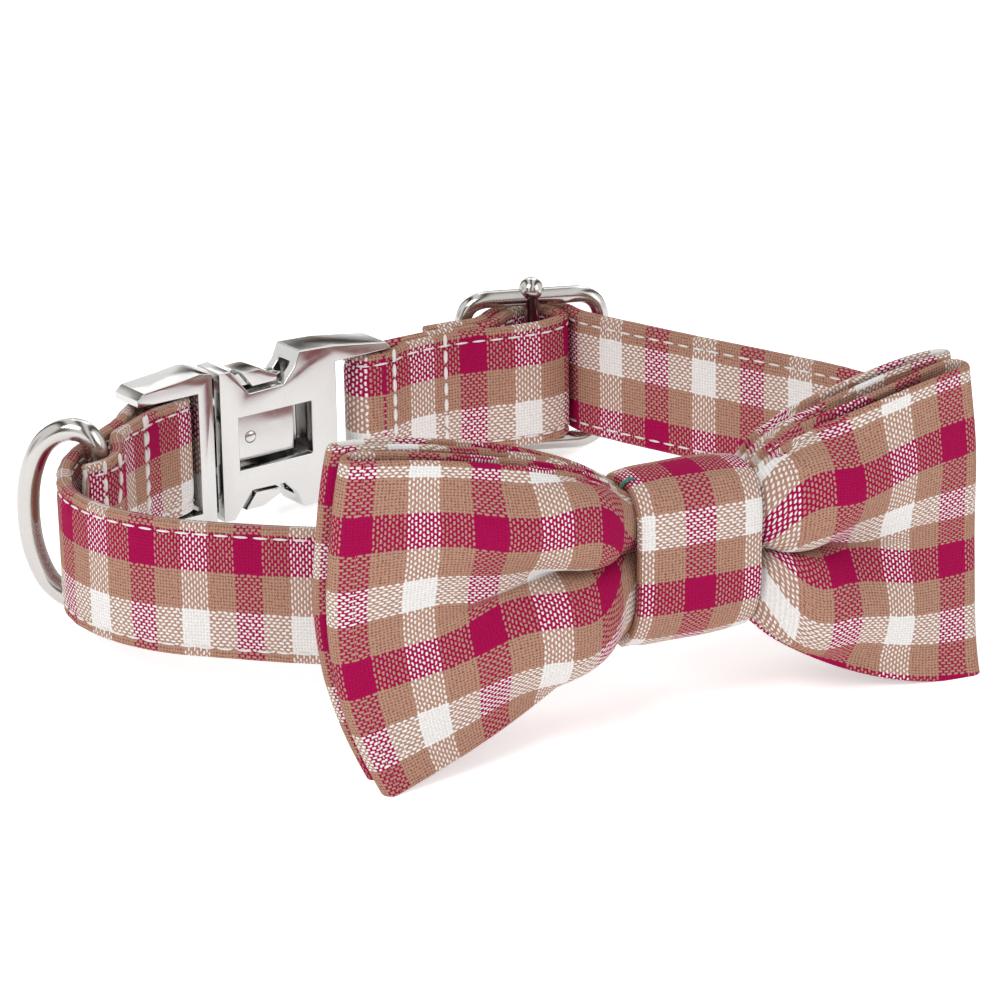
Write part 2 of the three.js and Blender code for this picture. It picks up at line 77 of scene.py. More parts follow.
BUCKLE_STRAP = (
    (-23.1, 54.1, 11.4), (-21.1, 55.5, 11.5), (-18.4, 57.3, 12.2), (-10.9, 61.6, 12.5),
    (-5.4, 63.9, 12.5), (2.6, 66.4, 12.5), (9.2, 69.8, 12.5), (12.3, 74.2, 12.5),
    (10.2, 78.7, 12.5), (5.6, 80.2, 12.5), (1.2, 76.3, 12.5), (-2.5, 69.5, 12.5),
    (-7.3, 66.8, 12.5), (-12.4, 64.2, 12.5), (-19.5, 60.6, 12.2), (-23.4, 60.0, 11.6),
    (-26.6, 59.2, 11.4), (-28.7, 56.9, 11.4), (-28.2, 54.1, 11.4), (-25.9, 52.9, 11.4),
)

# How far along the cloth each place along a strap is, both in millimetres.
MAIN_CLOTH = ((0.0, 10.1), (150.0, 179.2), (262.0, 310.0), (345.0, 417.8), (385.0, 469.2), (440.0, 531.2))
SHORT_CLOTH = ((0.0, 5.6), (110.0, 129.6))


class Yarn(Enum):
    """The colours of yarn in the cloth, as linear red, green and blue."""

    MAGENTA = (0.34, 0.0028, 0.066)
    TAN = (0.415, 0.24, 0.174)
    WHITE = (0.77, 0.755, 0.74)


# One repeat of the plaid, the same along the cloth and across it.
PLAID = (Yarn.MAGENTA, Yarn.TAN, Yarn.WHITE, Yarn.TAN)


def band_matrix() -> Matrix:
    """Places the band of the collar, which is drawn flat about z = 0, in the frame.

    Returns:
        The matrix, for points in metres.
    """
    tilt = Matrix.Rotation(-math.atan(BAND_DROP_PER_Y), 4, "X")
    lean = Matrix.Rotation(-math.atan(BAND_RISE_PER_X), 4, "Y")
    return (
        Matrix.Translation((-FOOTPRINT_MIDDLE[0] * MM, -FOOTPRINT_MIDDLE[1] * MM, 0))
        @ Matrix.Translation((0, 0, BAND_HEIGHT * MM))
        @ tilt
        @ lean
    )


def band_spot(place: tuple[float, float], turn: float) -> Matrix:
    """Places a piece's own frame on the band.

    Args:
        place: Where it stands, as x and y in millimetres.
        turn: How far it is turned about the upright, in degrees.

    Returns:
        The matrix, for points in metres.
    """
    x, y = place
    spot = Matrix.Translation((x * MM, y * MM, 0))
    return band_matrix() @ spot @ Matrix.Rotation(math.radians(turn), 4, "Z")


def add_object(name: str, data: bpy.types.ID) -> bpy.types.Object:
    """Puts a mesh, lamp or camera into the scene as an object of that name, and returns it."""
    made = bpy.data.objects.new(name, data)
    bpy.context.scene.collection.objects.link(made)
    return made


def placed(points: Points, matrix: Matrix) -> Points:
    """Moves points.

    Args:
        points: Rows of x, y, z in millimetres.
        matrix: The matrix to apply, in metres.

    Returns:
        The moved points, in metres.
    """
    m = np.array(matrix)
    return (points * MM) @ m[:3, :3].T + m[:3, 3]


def placed_rings(rings: Sequence[Points], matrix: Matrix) -> Points:
    """Moves rings of points, as placed() moves points."""
    stacked = np.array(rings)
    return placed(stacked.reshape(-1, 3), matrix).reshape(stacked.shape)


def spline(stations: Points, closed: bool, count: int) -> Points:
    """Samples a centripetal Catmull-Rom curve through the stations.

    Args:
        stations: One row for each station.
        closed: Whether the last station joins the first.
        count: How many points to return, evenly spaced by length.

    Returns:
        The points, with as many columns as the stations.
    """
    rows = [np.array(s, float) for s in stations]
    if closed:
        rows = [rows[-1], *rows, rows[0], rows[1]]
    else:
        rows = [2 * rows[0] - rows[1], *rows, 2 * rows[-1] - rows[-2]]
    fine = []
    for p0, p1, p2, p3 in zip(rows, rows[1:], rows[2:], rows[3:]):
        d0, d1, d2 = (max(np.linalg.norm(b[:2] - a[:2]) ** 0.5, 1e-4)
                      for a, b in ((p0, p1), (p1, p2), (p2, p3)))
        t1 = (p1 - p0) / d0 - (p2 - p0) / (d0 + d1) + (p2 - p1) / d1
        t2 = (p2 - p1) / d1 - (p3 - p1) / (d1 + d2) + (p3 - p2) / d2
        t1, t2 = t1 * d1, t2 * d1
        t = np.linspace(0, 1, 24, endpoint=False)[:, None]
        fine.append((2 * t**3 - 3 * t**2 + 1) * p1 + (t**3 - 2 * t**2 + t) * t1
                    + (3 * t**2 - 2 * t**3) * p2 + (t**3 - t**2) * t2)
    fine.append(rows[-2][None, :])
    path = np.concatenate(fine)
    return even(path, count, closed)


def lengths(path: Points) -> np.ndarray:
    """Returns how far along a path each of its points lies."""
    steps = np.linalg.norm(np.diff(path, axis=0), axis=1)
    return np.concatenate([[0.0], np.cumsum(steps)])


def even(path: Points, count: int, closed: bool) -> Points:
    """Spaces a path's points evenly by length.

    Args:
        path: The points; a closed path repeats its first point at the end.
        count: How many points to return.
        closed: Whether to leave out the repeated end.

    Returns:
        The points.
    """
    s = lengths(path)
    want = np.linspace(0, s[-1], count, endpoint=not closed)
    return np.stack([np.interp(want, s, path[:, i]) for i in range(path.shape[1])], axis=1)


def tangents(path: Points, closed: bool) -> Points:
    """Returns the unit directions of a path at its points."""
    if closed:
        d = np.roll(path, -1, axis=0) - np.roll(path, 1, axis=0)
    else:
        d = np.gradient(path, axis=0)
    return d / np.linalg.norm(d, axis=1)[:, None]


def smoothstep(x: np.ndarray, low: float, high: float) -> np.ndarray:
    """Rises smoothly from 0 at low to 1 at high."""
    t = np.clip((x - low) / (high - low), 0, 1)
    return t * t * (3 - 2 * t)


def ripple(a: np.ndarray, b: np.ndarray, seed: float) -> np.ndarray:
    """A smooth uneven field of about plus and minus one, made of a few crossed waves."""
    total = np.zeros(np.broadcast(a, b).shape)
    for k in range(1, 6):
        turn = seed * 1.7 + k * 2.399
        total = total + np.sin((a * math.cos(turn) + b * math.sin(turn)) * (0.55 + 0.33 * k)
                               + seed * k * 3.1) / k**0.6
    return total / 2.4


class GridMesh:
    """A closed surface of quads, in rings that each have the same count of points."""

    def __init__(self, name: str, rings: Points, uv: Points, loop: bool) -> None:
        """Builds the object.

        Args:
            name: The piece's name.
            rings: Points by ring and place in the ring, in metres.
            uv: For each ring and each place, and one more place at the ring's end, the cloth's
                own coordinates in metres. With loop it has one more ring at the end too.
            loop: Whether the last ring joins the first. An open row of rings gets two ends.
        """
        count, around, _ = rings.shape
        mesh = bpy.data.meshes.new(name)
        faces: list[tuple[int, ...]] = []
        corners: list[tuple[tuple[int, int], ...]] = []
        for i in range(count if loop else count - 1):
            for j in range(around):
                i2, j2 = (i + 1) % count, (j + 1) % around
                faces.append((i * around + j, i2 * around + j, i2 * around + j2, i * around + j2))
                corners.append(((i, j), (i + 1, j), (i + 1, j + 1), (i, j + 1)))
        if not loop:
            half = around // 2
            for i, flip in ((0, False), (count - 1, True)):
                for j in range(half - 1):
                    a, b = j, j + 1
                    c, d = around - 2 - j, around - 1 - j
                    quad = ((i, a), (i, b), (i, c), (i, d))
                    quad = quad[::-1] if flip else quad
                    faces.append(tuple(p * around + q for p, q in quad))
                    corners.append(quad)
        mesh.from_pydata(rings.reshape(-1, 3).tolist(), [], faces)
        layer = mesh.uv_layers.new(name="cloth")
        flat = np.array([uv[p, q] for quad in corners for p, q in quad], float)
        layer.data.foreach_set("uv", flat.ravel())
        mesh.validate()
        work = bmesh.new()
        work.from_mesh(mesh)
        if work.calc_volume(signed=True) < 0:
            bmesh.ops.reverse_faces(work, faces=work.faces)
        work.to_mesh(mesh)
        work.free()
        mesh.shade_smooth()
        self.object = add_object(name, mesh)


class TreeMaker:
    """Builds a tree of nodes with few words."""

    def __init__(self, tree: bpy.types.NodeTree) -> None:
        """Starts with that tree, emptied."""
        self.tree = tree
        tree.nodes.clear()

    def node(self, kind: str, **settings: object) -> bpy.types.Node:
        """Adds a node with its settings, and links or sets the inputs named in_NUMBER."""
        made = self.tree.nodes.new(kind)
        for key, value in settings.items():
            if key.startswith("in_"):
                place = key[3:]
                socket = made.inputs[int(place) if place.isdigit() else place.replace("_", " ")]
                if isinstance(value, bpy.types.NodeSocket):
                    self.tree.links.new(value, socket)
                else:
                    socket.default_value = value
            else:
                setattr(made, key, value)
        return made


class NodeMaker(TreeMaker):
    """Builds a material's nodes."""

    def __init__(self, name: str) -> None:
        """Starts an empty material of that name."""
        self.material = bpy.data.materials.new(name)
        self.material.use_nodes = True
        super().__init__(self.material.node_tree)

    def math(self, operation: str, *values: object, clamp: bool = False) -> bpy.types.NodeSocket:
        """Adds a Math node and returns its result."""
        inputs = {f"in_{i}": value for i, value in enumerate(values)}
        return self.node("ShaderNodeMath", operation=operation, use_clamp=clamp, **inputs).outputs[0]

    def mix(self, share: object, first: object, second: object) -> bpy.types.NodeSocket:
        """Mixes two colours and returns the result."""
        made = self.node("ShaderNodeMix", data_type="RGBA")
        for index, value in ((0, share), (6, first), (7, second)):
            if isinstance(value, bpy.types.NodeSocket):
                self.tree.links.new(value, made.inputs[index])
            else:
                made.inputs[index].default_value = value if index == 0 else (*value[:3], 1)
        return made.outputs[2]

    def finish(self, shader: bpy.types.NodeSocket) -> bpy.types.Material:
        """Joins the shader to the output and returns the material."""
        out = self.node("ShaderNodeOutputMaterial")
        self.tree.links.new(shader, out.inputs["Surface"])
        return self.material


@dataclass(frozen=True)
class PlaidCloth:
    """Plain-woven cotton: yarns of three colours in both directions, each float seen by itself, with
    painted shade darkening the gaps between floats.
    """

    name: str
    warp_pitch: float = 0.70
    weft_pitch: float = 0.60
    warps_per_stripe: int = 9
    wefts_per_stripe: int = 12
    warp_float: tuple[float, float] = (0.75, 0.30)
    weft_float: tuple[float, float] = (0.74, 0.40)
    wander: float = 0.9
    paler_finer: float = 0.25
    # The painted shade in the gaps: where it starts on the way out from a float's crown, and its patches'
    # floor and sharpness.
    gap_shade_start: float = 0.56
    gap_shade_patches: tuple[float, float] = (0.22, 3.4)
    slub: float = 0.34
    bump: float = 0.16

    def green(self, make: NodeMaker, colour: bpy.types.NodeSocket) -> bpy.types.NodeSocket:
        """Returns the green part of a colour, which is 0 for the magenta yarn and high for the white."""
        return make.node("ShaderNodeSeparateColor", in_0=colour).outputs[1]

    def stripes(self, make: NodeMaker, thread: object, per_stripe: int) -> bpy.types.NodeSocket:
        """Colours a thread by its number.

        Args:
            make: The material's maker.
            thread: The thread's number.
            per_stripe: How many threads make a stripe.

        Returns:
            The thread's colour.
        """
        repeat = per_stripe * len(PLAID)
        share = make.math("FRACT", make.math("DIVIDE", make.math("ADD", thread, 0.5), float(repeat)))
        ramp = make.node("ShaderNodeValToRGB", in_0=share)
        ramp.color_ramp.interpolation = "CONSTANT"
        for index, yarn in enumerate(PLAID):
            place = index / len(PLAID)
            points = ramp.color_ramp.elements
            point = points[index] if index < len(points) else points.new(place)
            point.position = place
            point.color = (*yarn.value, 1)
        return ramp.outputs["Color"]

    def build(self) -> bpy.types.Material:
        """Builds the material, which reads the cloth's own coordinates.

        Returns:
            The material.
        """
        make = NodeMaker(self.name)
        place = make.node("ShaderNodeUVMap", uv_map="cloth").outputs["UV"]
        drift = make.node("ShaderNodeTexNoise", in_Vector=place, in_Scale=700.0, in_Detail=2.0)
        part = make.node("ShaderNodeSeparateXYZ", in_0=place)
        shifts = make.node("ShaderNodeSeparateColor", in_0=drift.outputs["Color"])
        across, down = (
            make.math(
                "ADD",
                make.math("DIVIDE", part.outputs[axis], pitch * MM),
                make.math("MULTIPLY", make.math("SUBTRACT", shifts.outputs[axis], 0.5), self.wander),
            )
            for axis, pitch in enumerate((self.warp_pitch, self.weft_pitch))
        )
        column = make.math("FLOOR", across)
        row = make.math("FLOOR", down)
        a = make.math("ABSOLUTE", make.math("SUBTRACT", make.math("FRACT", across), 0.5))
        b = make.math("ABSOLUTE", make.math("SUBTRACT", make.math("FRACT", down), 0.5))
        odd = make.math("FLOORED_MODULO", make.math("ADD", column, row), 2.0)
        # a and b are the distances to the middle of the cell, 0 to 0.5. A weft float has its middle
        # in the even cells, and a warp float in the odd ones.
        to_weft = make.math("ABSOLUTE", make.math("SUBTRACT", odd, a))
        to_warp = make.math("ABSOLUTE", make.math("SUBTRACT", make.math("SUBTRACT", 1.0, odd), b))
        weft = self.float_height(make, to_weft, b, self.weft_float)
        warp = self.float_height(make, to_warp, a, self.warp_float)
        warp_colour = self.stripes(make, column, self.warps_per_stripe)
        weft_colour = self.stripes(make, row, self.wefts_per_stripe)
        # The paler yarns are the finer ones, so the dyed ones cover more of the cloth.
        weft, warp = (
            make.math("ADD", height, make.math("MULTIPLY", self.green(make, yarn), self.paler_finer))
            for height, yarn in ((weft, weft_colour), (warp, warp_colour))
        )
        weft_on_top = make.math("LESS_THAN", weft, warp)
        top = make.math("MINIMUM", weft, warp)
        colour = make.mix(weft_on_top, warp_colour, weft_colour)
        between = make.mix(0.5, warp_colour, weft_colour)
        # Painted shade: the gaps between floats are darkened, in patches, towards the product of both
        # yarns' colours, and less where a yarn is magenta.
        patchy = make.node("ShaderNodeTexNoise", in_Vector=place, in_Scale=1300.0, in_Detail=2.0)
        least, sharpness = self.gap_shade_patches
        open_weave = make.math("MULTIPLY", make.math("SUBTRACT", patchy.outputs["Fac"], least), sharpness)
        gap_shade = make.math("MULTIPLY", make.math("SUBTRACT", top, self.gap_shade_start), open_weave, clamp=True)
        clear = make.math("ADD", make.math("MULTIPLY", self.green(make, between), 3.0), 0.45, clamp=True)
        deep = make.math("MULTIPLY", gap_shade, clear)
        shadow = self.product(make, warp_colour, weft_colour)
        woven = make.mix(deep, colour, shadow)
        slub = make.node("ShaderNodeTexNoise", in_Vector=place, in_Scale=2600.0, in_Detail=1.0)
        shade = make.math("MULTIPLY", slub.outputs["Fac"], self.slub)
        shade = make.math("ADD", shade, 1 - self.slub / 2)
        grey = make.node("ShaderNodeCombineColor", in_0=shade, in_1=shade, in_2=shade)
        final = self.product(make, woven, grey.outputs[0])
        height = make.math("SUBTRACT", 1.0, top, clamp=True)
        bump = make.node("ShaderNodeBump", in_Strength=0.55, in_Distance=self.bump * MM, in_Height=height)
        shader = make.node(
            "ShaderNodeBsdfPrincipled", in_Base_Color=final, in_Roughness=0.86,
            in_Specular_IOR_Level=0.08, in_Normal=bump.outputs[0],
        )
        return make.finish(shader.outputs[0])

    def product(
        self, make: NodeMaker, first: bpy.types.NodeSocket, second: bpy.types.NodeSocket
    ) -> bpy.types.NodeSocket:
        """Multiplies two colours and returns the result."""
        mixed = make.mix(1.0, first, second)
        mixed.node.blend_type = "MULTIPLY"
        return mixed

    def float_height(
        self, make: NodeMaker, along: object, beside: object, halves: tuple[float, float]
    ) -> bpy.types.NodeSocket:
        """How far a point is from the crown of a float: 0 on the crown and 1 at its rim.

        Args:
            make: The material's maker.
            along: The distance along the yarn, in cells.
            beside: The distance across the yarn, in cells.
            halves: Half the float's length and half its width, in cells.

        Returns:
            The distance.
        """
        squares = [make.math("POWER", make.math("DIVIDE", distance, half), 2.0)
                   for distance, half in zip((along, beside), halves)]
        return make.math("ADD", *squares)


@dataclass(frozen=True)
class SewingThread:
    """Twisted thread."""

    name: str
    colour: tuple[float, float, float] = (0.83, 0.80, 0.77)

    def build(self) -> bpy.types.Material:
        """Builds the material.

        Returns:
            The material.
        """
        make = NodeMaker(self.name)
        place = make.node("ShaderNodeTexCoord").outputs["Object"]
        twist = make.node("ShaderNodeTexNoise", in_Vector=place, in_Scale=2400.0, in_Detail=2.0)
        dark = tuple(c * 0.72 for c in self.colour)
        colour = make.mix(twist.outputs["Fac"], dark, self.colour)
        bump = make.node(
            "ShaderNodeBump", in_Strength=0.5, in_Distance=0.05 * MM, in_Height=twist.outputs["Fac"]
        )
        shader = make.node(
            "ShaderNodeBsdfPrincipled", in_Base_Color=colour, in_Roughness=0.7, in_Normal=bump.outputs[0]
        )
        return make.finish(shader.outputs[0])


@dataclass(frozen=True)
class PolishedMetal:
    """Plated zinc: bright, with faint unevenness and a few fine marks."""

    name: str
    colour: tuple[float, float, float] = (0.62, 0.615, 0.605)
    roughness: float = 0.13
    waviness: float = 0.25

    def build(self) -> bpy.types.Material:
        """Builds the material.

        Returns:
            The material.
        """
        make = NodeMaker(self.name)
        place = make.node("ShaderNodeTexCoord").outputs["Object"]
        broad = make.node("ShaderNodeTexNoise", in_Vector=place, in_Scale=160.0, in_Detail=3.0)
        fine = make.node("ShaderNodeTexNoise", in_Vector=place, in_Scale=2200.0, in_Detail=3.0)
        rough = make.node(
            "ShaderNodeMapRange", in_0=broad.outputs["Fac"], in_1=0.3, in_2=0.7,
            in_3=self.roughness * 0.75, in_4=self.roughness * 1.5,
        )
        dull = tuple(c * 0.9 for c in self.colour)
        colour = make.mix(fine.outputs["Fac"], dull, self.colour)
        bump = make.node(
            "ShaderNodeBump", in_Strength=self.waviness, in_Distance=0.05 * MM,
            in_Height=broad.outputs["Fac"],
        )
        shader = make.node(
            "ShaderNodeBsdfPrincipled", in_Base_Color=colour, in_Metallic=1.0,
            in_Roughness=rough.outputs[0], in_Normal=bump.outputs[0],
        )
        return make.finish(shader.outputs[0])


class Fabric:
    """The finishes, each built once."""

    def __init__(self) -> None:
        """Builds all the finishes."""
        self.cloth = PlaidCloth("plaid_cloth").build()
        self.thread = SewingThread("white_thread").build()
        self.green_thread = SewingThread("green_thread", (0.01, 0.22, 0.15)).build()
        self.metal = PolishedMetal("polished_metal").build()
        self.wire = PolishedMetal("wire_metal", (0.55, 0.53, 0.51), 0.15, 0.12).build()


@dataclass
class Stitches:
    """Saddle stitches that follow paths, made by Geometry Nodes."""

    name: str
    thread: bpy.types.Material
    pitch: float = 3.5
    length: float = 2.7
    width: float = 0.46
    paths: list[Points] = field(default_factory=list)

    def tree(self) -> bpy.types.NodeTree:
        """Builds the tree that sets a thread float at every pitch of the paths.

        Returns:
            The tree, whose inputs are the pitch, length, width and finish.
        """
        tree = bpy.data.node_groups.new(self.name, "GeometryNodeTree")
        for label, way, kind in (
            ("Geometry", "INPUT", "Geometry"), ("Pitch", "INPUT", "Float"), ("Length", "INPUT", "Float"),
            ("Width", "INPUT", "Float"), ("Finish", "INPUT", "Material"),
            ("Geometry", "OUTPUT", "Geometry"),
        ):
            tree.interface.new_socket(label, in_out=way, socket_type=f"NodeSocket{kind}")
        make = TreeMaker(tree)
        start = make.node("NodeGroupInput").outputs
        curve = make.node("GeometryNodeMeshToCurve", in_0=start["Geometry"])
        spaced = make.node(
            "GeometryNodeCurveToPoints", mode="LENGTH", in_Curve=curve.outputs[0], in_Length=start["Pitch"]
        )
        ball = make.node("GeometryNodeMeshUVSphere", in_Segments=8, in_Rings=6, in_Radius=0.5)
        size = make.node(
            "ShaderNodeCombineXYZ", in_0=start["Width"], in_1=start["Width"], in_2=start["Length"]
        )
        put = make.node(
            "GeometryNodeInstanceOnPoints", in_Points=spaced.outputs["Points"],
            in_Rotation=spaced.outputs["Rotation"], in_Instance=ball.outputs["Mesh"],
            in_Scale=size.outputs[0],
        )
        real = make.node("GeometryNodeRealizeInstances", in_0=put.outputs[0])
        smooth = make.node("GeometryNodeSetShadeSmooth", in_0=real.outputs[0])
        finish = make.node(
            "GeometryNodeSetMaterial", in_Geometry=smooth.outputs[0], in_Material=start["Finish"]
        )
        make.node("NodeGroupOutput", in_0=finish.outputs[0])
        return tree

    def build(self) -> bpy.types.Object:
        """Builds the stitches as one plain mesh.

        Returns:
            The object.
        """
        points = [tuple(p) for path in self.paths for p in path]
        edges, first = [], 0
        for path in self.paths:
            edges += [(first + i, first + i + 1) for i in range(len(path) - 1)]
            first += len(path)
        mesh = bpy.data.meshes.new(self.name)
        mesh.from_pydata(points, edges, [])
        piece = add_object(self.name, mesh)
        nodes = piece.modifiers.new("stitches", "NODES")
        nodes.node_group = self.tree()
        values = {"Pitch": self.pitch * MM, "Length": self.length * MM, "Width": self.width * MM,
                  "Finish": self.thread}
        for item in nodes.node_group.interface.items_tree:
            if item.in_out == "INPUT" and item.name in values:
                nodes[item.identifier] = values[item.name]
        graph = bpy.context.evaluated_depsgraph_get()
        plain = bpy.data.meshes.new_from_object(piece.evaluated_get(graph))
        piece.modifiers.remove(nodes)
        piece.data = plain
        plain.name = self.name
        return piece


def dress(piece: bpy.types.Object, material: bpy.types.Material, body: str) -> None:
    """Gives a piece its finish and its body.

    Args:
        piece: The piece.
        material: Its finish.
        body: The CAD body it rides on.
    """
    piece.data.materials.clear()
    piece.data.materials.append(material)
    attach(piece, body)
    log.info("%s: %d faces", piece.name, len(piece.data.polygons))


@dataclass
class Strap:
    """A flat strap on edge: webbing in a plaid sleeve, sewn near both edges."""

    name: str
    stations: Sequence[tuple[float, float, float]]
    closed: bool
    count: int
    cloth_stations: Sequence[tuple[float, float]]
    magenta_rows: tuple[float, float]
    seed: float = 1.0
    edge: float = 2.1
    rim: float = 1.0
    rows: int = 26
    rim_points: int = 5
    seam_width: float = 0.75
    seam_depth: float = 0.26
    seam_floor: float = 0.22
    stitch_dent: float = 0.10
    stitch_pitch: float = 3.5
    puff: float = 0.10
    gather: float = 0.10
    gather_pitch: float = 6.1
    gather_reach: float = 3.0

    def __post_init__(self) -> None:
        """Samples the centre line."""
        self.path = spline(self.stations, self.closed, self.count)
        flat = self.path.copy()
        flat[:, 2] = 0
        self.along = tangents(flat, self.closed)
        closing = np.concatenate([flat, flat[:1]]) if self.closed else flat
        self.s = lengths(closing)
        # The left side's points, with the lower rim's as far as its middle.
        self.left_points = self.rows + (self.rim_points + 1) // 2

    def section(self, half: float) -> tuple[Points, np.ndarray]:
        """The strap's outline across, from the top of its left side round to where it began.

        Args:
            half: Half the strap's height there, in millimetres.

        Returns:
            Rows of side (positive to the left of the way along) and up, and each point's distance
            down from the top edge along its own side, in millimetres.
        """
        reach = STRAP_THICKNESS / 2
        ups = np.linspace(half - self.rim, -half + self.rim, self.rows)
        angles = np.linspace(0, math.pi, self.rim_points + 2)[1:-1]
        rows = [(reach, u) for u in ups]
        rows += [(reach * math.cos(a), -half + self.rim * (1 - math.sin(a))) for a in angles]
        rows += [(-reach, u) for u in ups[::-1]]
        rows += [(-reach * math.cos(a), half - self.rim * (1 - math.sin(a))) for a in angles]
        outline = np.array(rows)
        round_edge = lengths(outline)
        top = round_edge[-3] - round_edge[-5] + self.rim * 0.3
        whole = round_edge[-1] + np.linalg.norm(outline[0] - outline[-1])
        left = round_edge + top
        right = whole - round_edge - top
        on_left = np.arange(len(rows)) < self.left_points
        down = np.where(on_left, left, right)
        down[-2:] = -(whole - round_edge[-2:] - top)
        return outline, down

    def cloth_along(self, s: float) -> float:
        """Returns the cloth's own coordinate along the strap, which eases a little in the sleeve."""
        places, values = zip(*self.cloth_stations)
        return float(np.interp(s, places, values))

    def build(self) -> bpy.types.Object:
        """Builds the strap.

        Returns:
            The object.
        """
        rings, cloth = [], []
        for i, (x, y, half) in enumerate(self.path):
            section, down = self.section(half)
            side, up = section[:, 0], section[:, 1]
            from_edge = half - np.abs(up)
            seam = np.exp(-(((from_edge - self.edge) / self.seam_width) ** 2))
            stitch = np.sin(2 * math.pi * self.s[i] / self.stitch_pitch + 1.3 * np.sign(side))
            puff = self.puff * (1 - seam) - (self.seam_depth + self.stitch_dent * stitch) * seam
            pucker = np.exp(-np.clip(from_edge - self.edge, 0, None) / self.gather_reach)
            gather = np.sin(2 * math.pi * self.s[i] / self.gather_pitch + 2.0 * np.sign(up))
            gather = self.gather * pucker * gather
            wave = ripple(np.full_like(up, self.s[i] / 9), up / 6, self.seed)
            flatness = (np.abs(side) / (STRAP_THICKNESS / 2)) ** 2
            depth = side + np.sign(side) * (puff + gather + 0.05 * wave) * flatness + 0.03 * wave
            uneven = 0.12 * ripple(np.array(self.s[i] / 6), np.array(0.3), self.seed + 4)
            x_left, y_left = -self.along[i, 1], self.along[i, 0]
            grown = up + np.sign(up) * uneven
            rings.append(np.stack([x + depth * x_left, y + depth * y_left, grown], axis=1))
            left, right = self.magenta_rows
            on_left = np.arange(len(down)) < self.left_points
            rows = down - np.where(on_left, left, right)
            rows = np.append(rows, down[0] - 0.1 - left)
            rows[-3:-1] = down[-2:] - left
            cloth.append(np.stack([np.full(len(rows), self.cloth_along(self.s[i])), rows], axis=1))
        if self.closed:
            last = cloth[0].copy()
            last[:, 0] = self.cloth_along(self.s[-1])
            cloth.append(last)
        return GridMesh(
            self.name, placed_rings(rings, band_matrix()), np.array(cloth) * MM, self.closed
        ).object

    def face_points(self, side: int, keep: np.ndarray, ups: np.ndarray, proud: float) -> Points:
        """Points just above one face of the strap.

        Args:
            side: 1 for the left side of the way along, -1 for the right.
            keep: Which stations, by number.
            ups: How high above the middle, in millimetres.
            proud: How far above the pressed-in seam.

        Returns:
            The points, in metres.
        """
        path, along = self.path[keep], self.along[keep]
        reach = side * (STRAP_THICKNESS / 2 - self.seam_floor + proud)
        x = path[:, 0] - along[:, 1] * reach
        y = path[:, 1] + along[:, 0] * reach
        return placed(np.stack([x, y, ups + np.zeros(len(path))], axis=1), band_matrix())

    def stitch_path(self, side: int, up: int, start: float, end: float, proud: float = 0.12) -> Points:
        """The way of a row of stitches along the strap.

        Args:
            side: 1 for the left side of the way along, -1 for the right.
            up: 1 for the upper edge, -1 for the lower.
            start: Where the row starts, in millimetres along the strap.
            end: Where it ends.
            proud: How far the thread's middle lies above the pressed-in seam.

        Returns:
            The points, in metres.
        """
        s = self.s[: len(self.path)]
        keep = np.flatnonzero((s >= start) & (s <= end))
        return self.face_points(side, keep, up * (self.path[keep, 2] - self.edge), proud)

    def across_path(self, side: int, at: float, lean: float = 0.0, proud: float = 0.34) -> Points:
        """The way of a row of stitches across the strap.

        Args:
            side: 1 for the left side of the way along, -1 for the right.
            at: Where it lies, in millimetres along the strap.
            lean: How far along the strap its lower end lies from its upper.
            proud: How far the thread's middle lies above the pressed-in seam.

        Returns:
            The points, in metres.
        """
        s = self.s[: len(self.path)]
        share = np.linspace(0, 1, 30)
        keep = np.array([int(np.argmin(np.abs(s - at - lean * w))) for w in share])
        half = self.path[keep, 2] - 1.0
        return self.face_points(side, keep, half * (1 - 2 * share), proud)


@dataclass
class Straps:
    """Both straps and their seams."""

    fabric: Fabric

    def build(self) -> None:
        """Builds the straps and their stitches."""
        main = Strap("main_strap_cloth", MAIN_STRAP, False, 660, MAIN_CLOTH, (2.0, 19.4))
        short = Strap("buckle_strap_cloth", BUCKLE_STRAP, True, 240, SHORT_CLOTH, (2.0, 2.0), seed=3.0)
        for strap, node in ((main, "main_strap"), (short, "buckle_strap")):
            piece = strap.build()
            dress(piece, self.fabric.cloth, "collar")
            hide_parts(node)
            log.info("%s: %.1f mm round its middle", node, strap.s[-1])
        paths = []
        for side in (1, -1):
            for up in (1, -1):
                paths.append(main.stitch_path(side, up, 2.0, main.s[-1] - 2.0))
                paths.append(short.stitch_path(side, up, 0.0, short.s[-1]))
        seam = Stitches("strap_stitches", self.fabric.thread, paths=paths).build()
        dress(seam, self.fabric.thread, "collar")
        end = main.s[-1]
        # Each cross seam of the main strap by its distance from the folded end, and its lean.
        from_end = ((3.0, 0.0), (7.1, 1.0), (30.2, 0.6), (31.2, 0.6))
        tacks = [short.across_path(-1, at) for at in (2.6, 14.4)]
        tacks += [main.across_path(1, end - back, lean) for back, lean in from_end]
        tack = Stitches("cross_seams", self.fabric.thread, 3.0, 2.7, 0.85, tacks).build()
        dress(tack, self.fabric.thread, "collar")


@dataclass(frozen=True)
class Band:
    """A closed band of cloth: its section, its width and its wall."""

    name: str
    section: Points
    middle: float
    half: float
    wall: float
    bulge: float
    wrinkle: float
    phase: tuple[float, float]


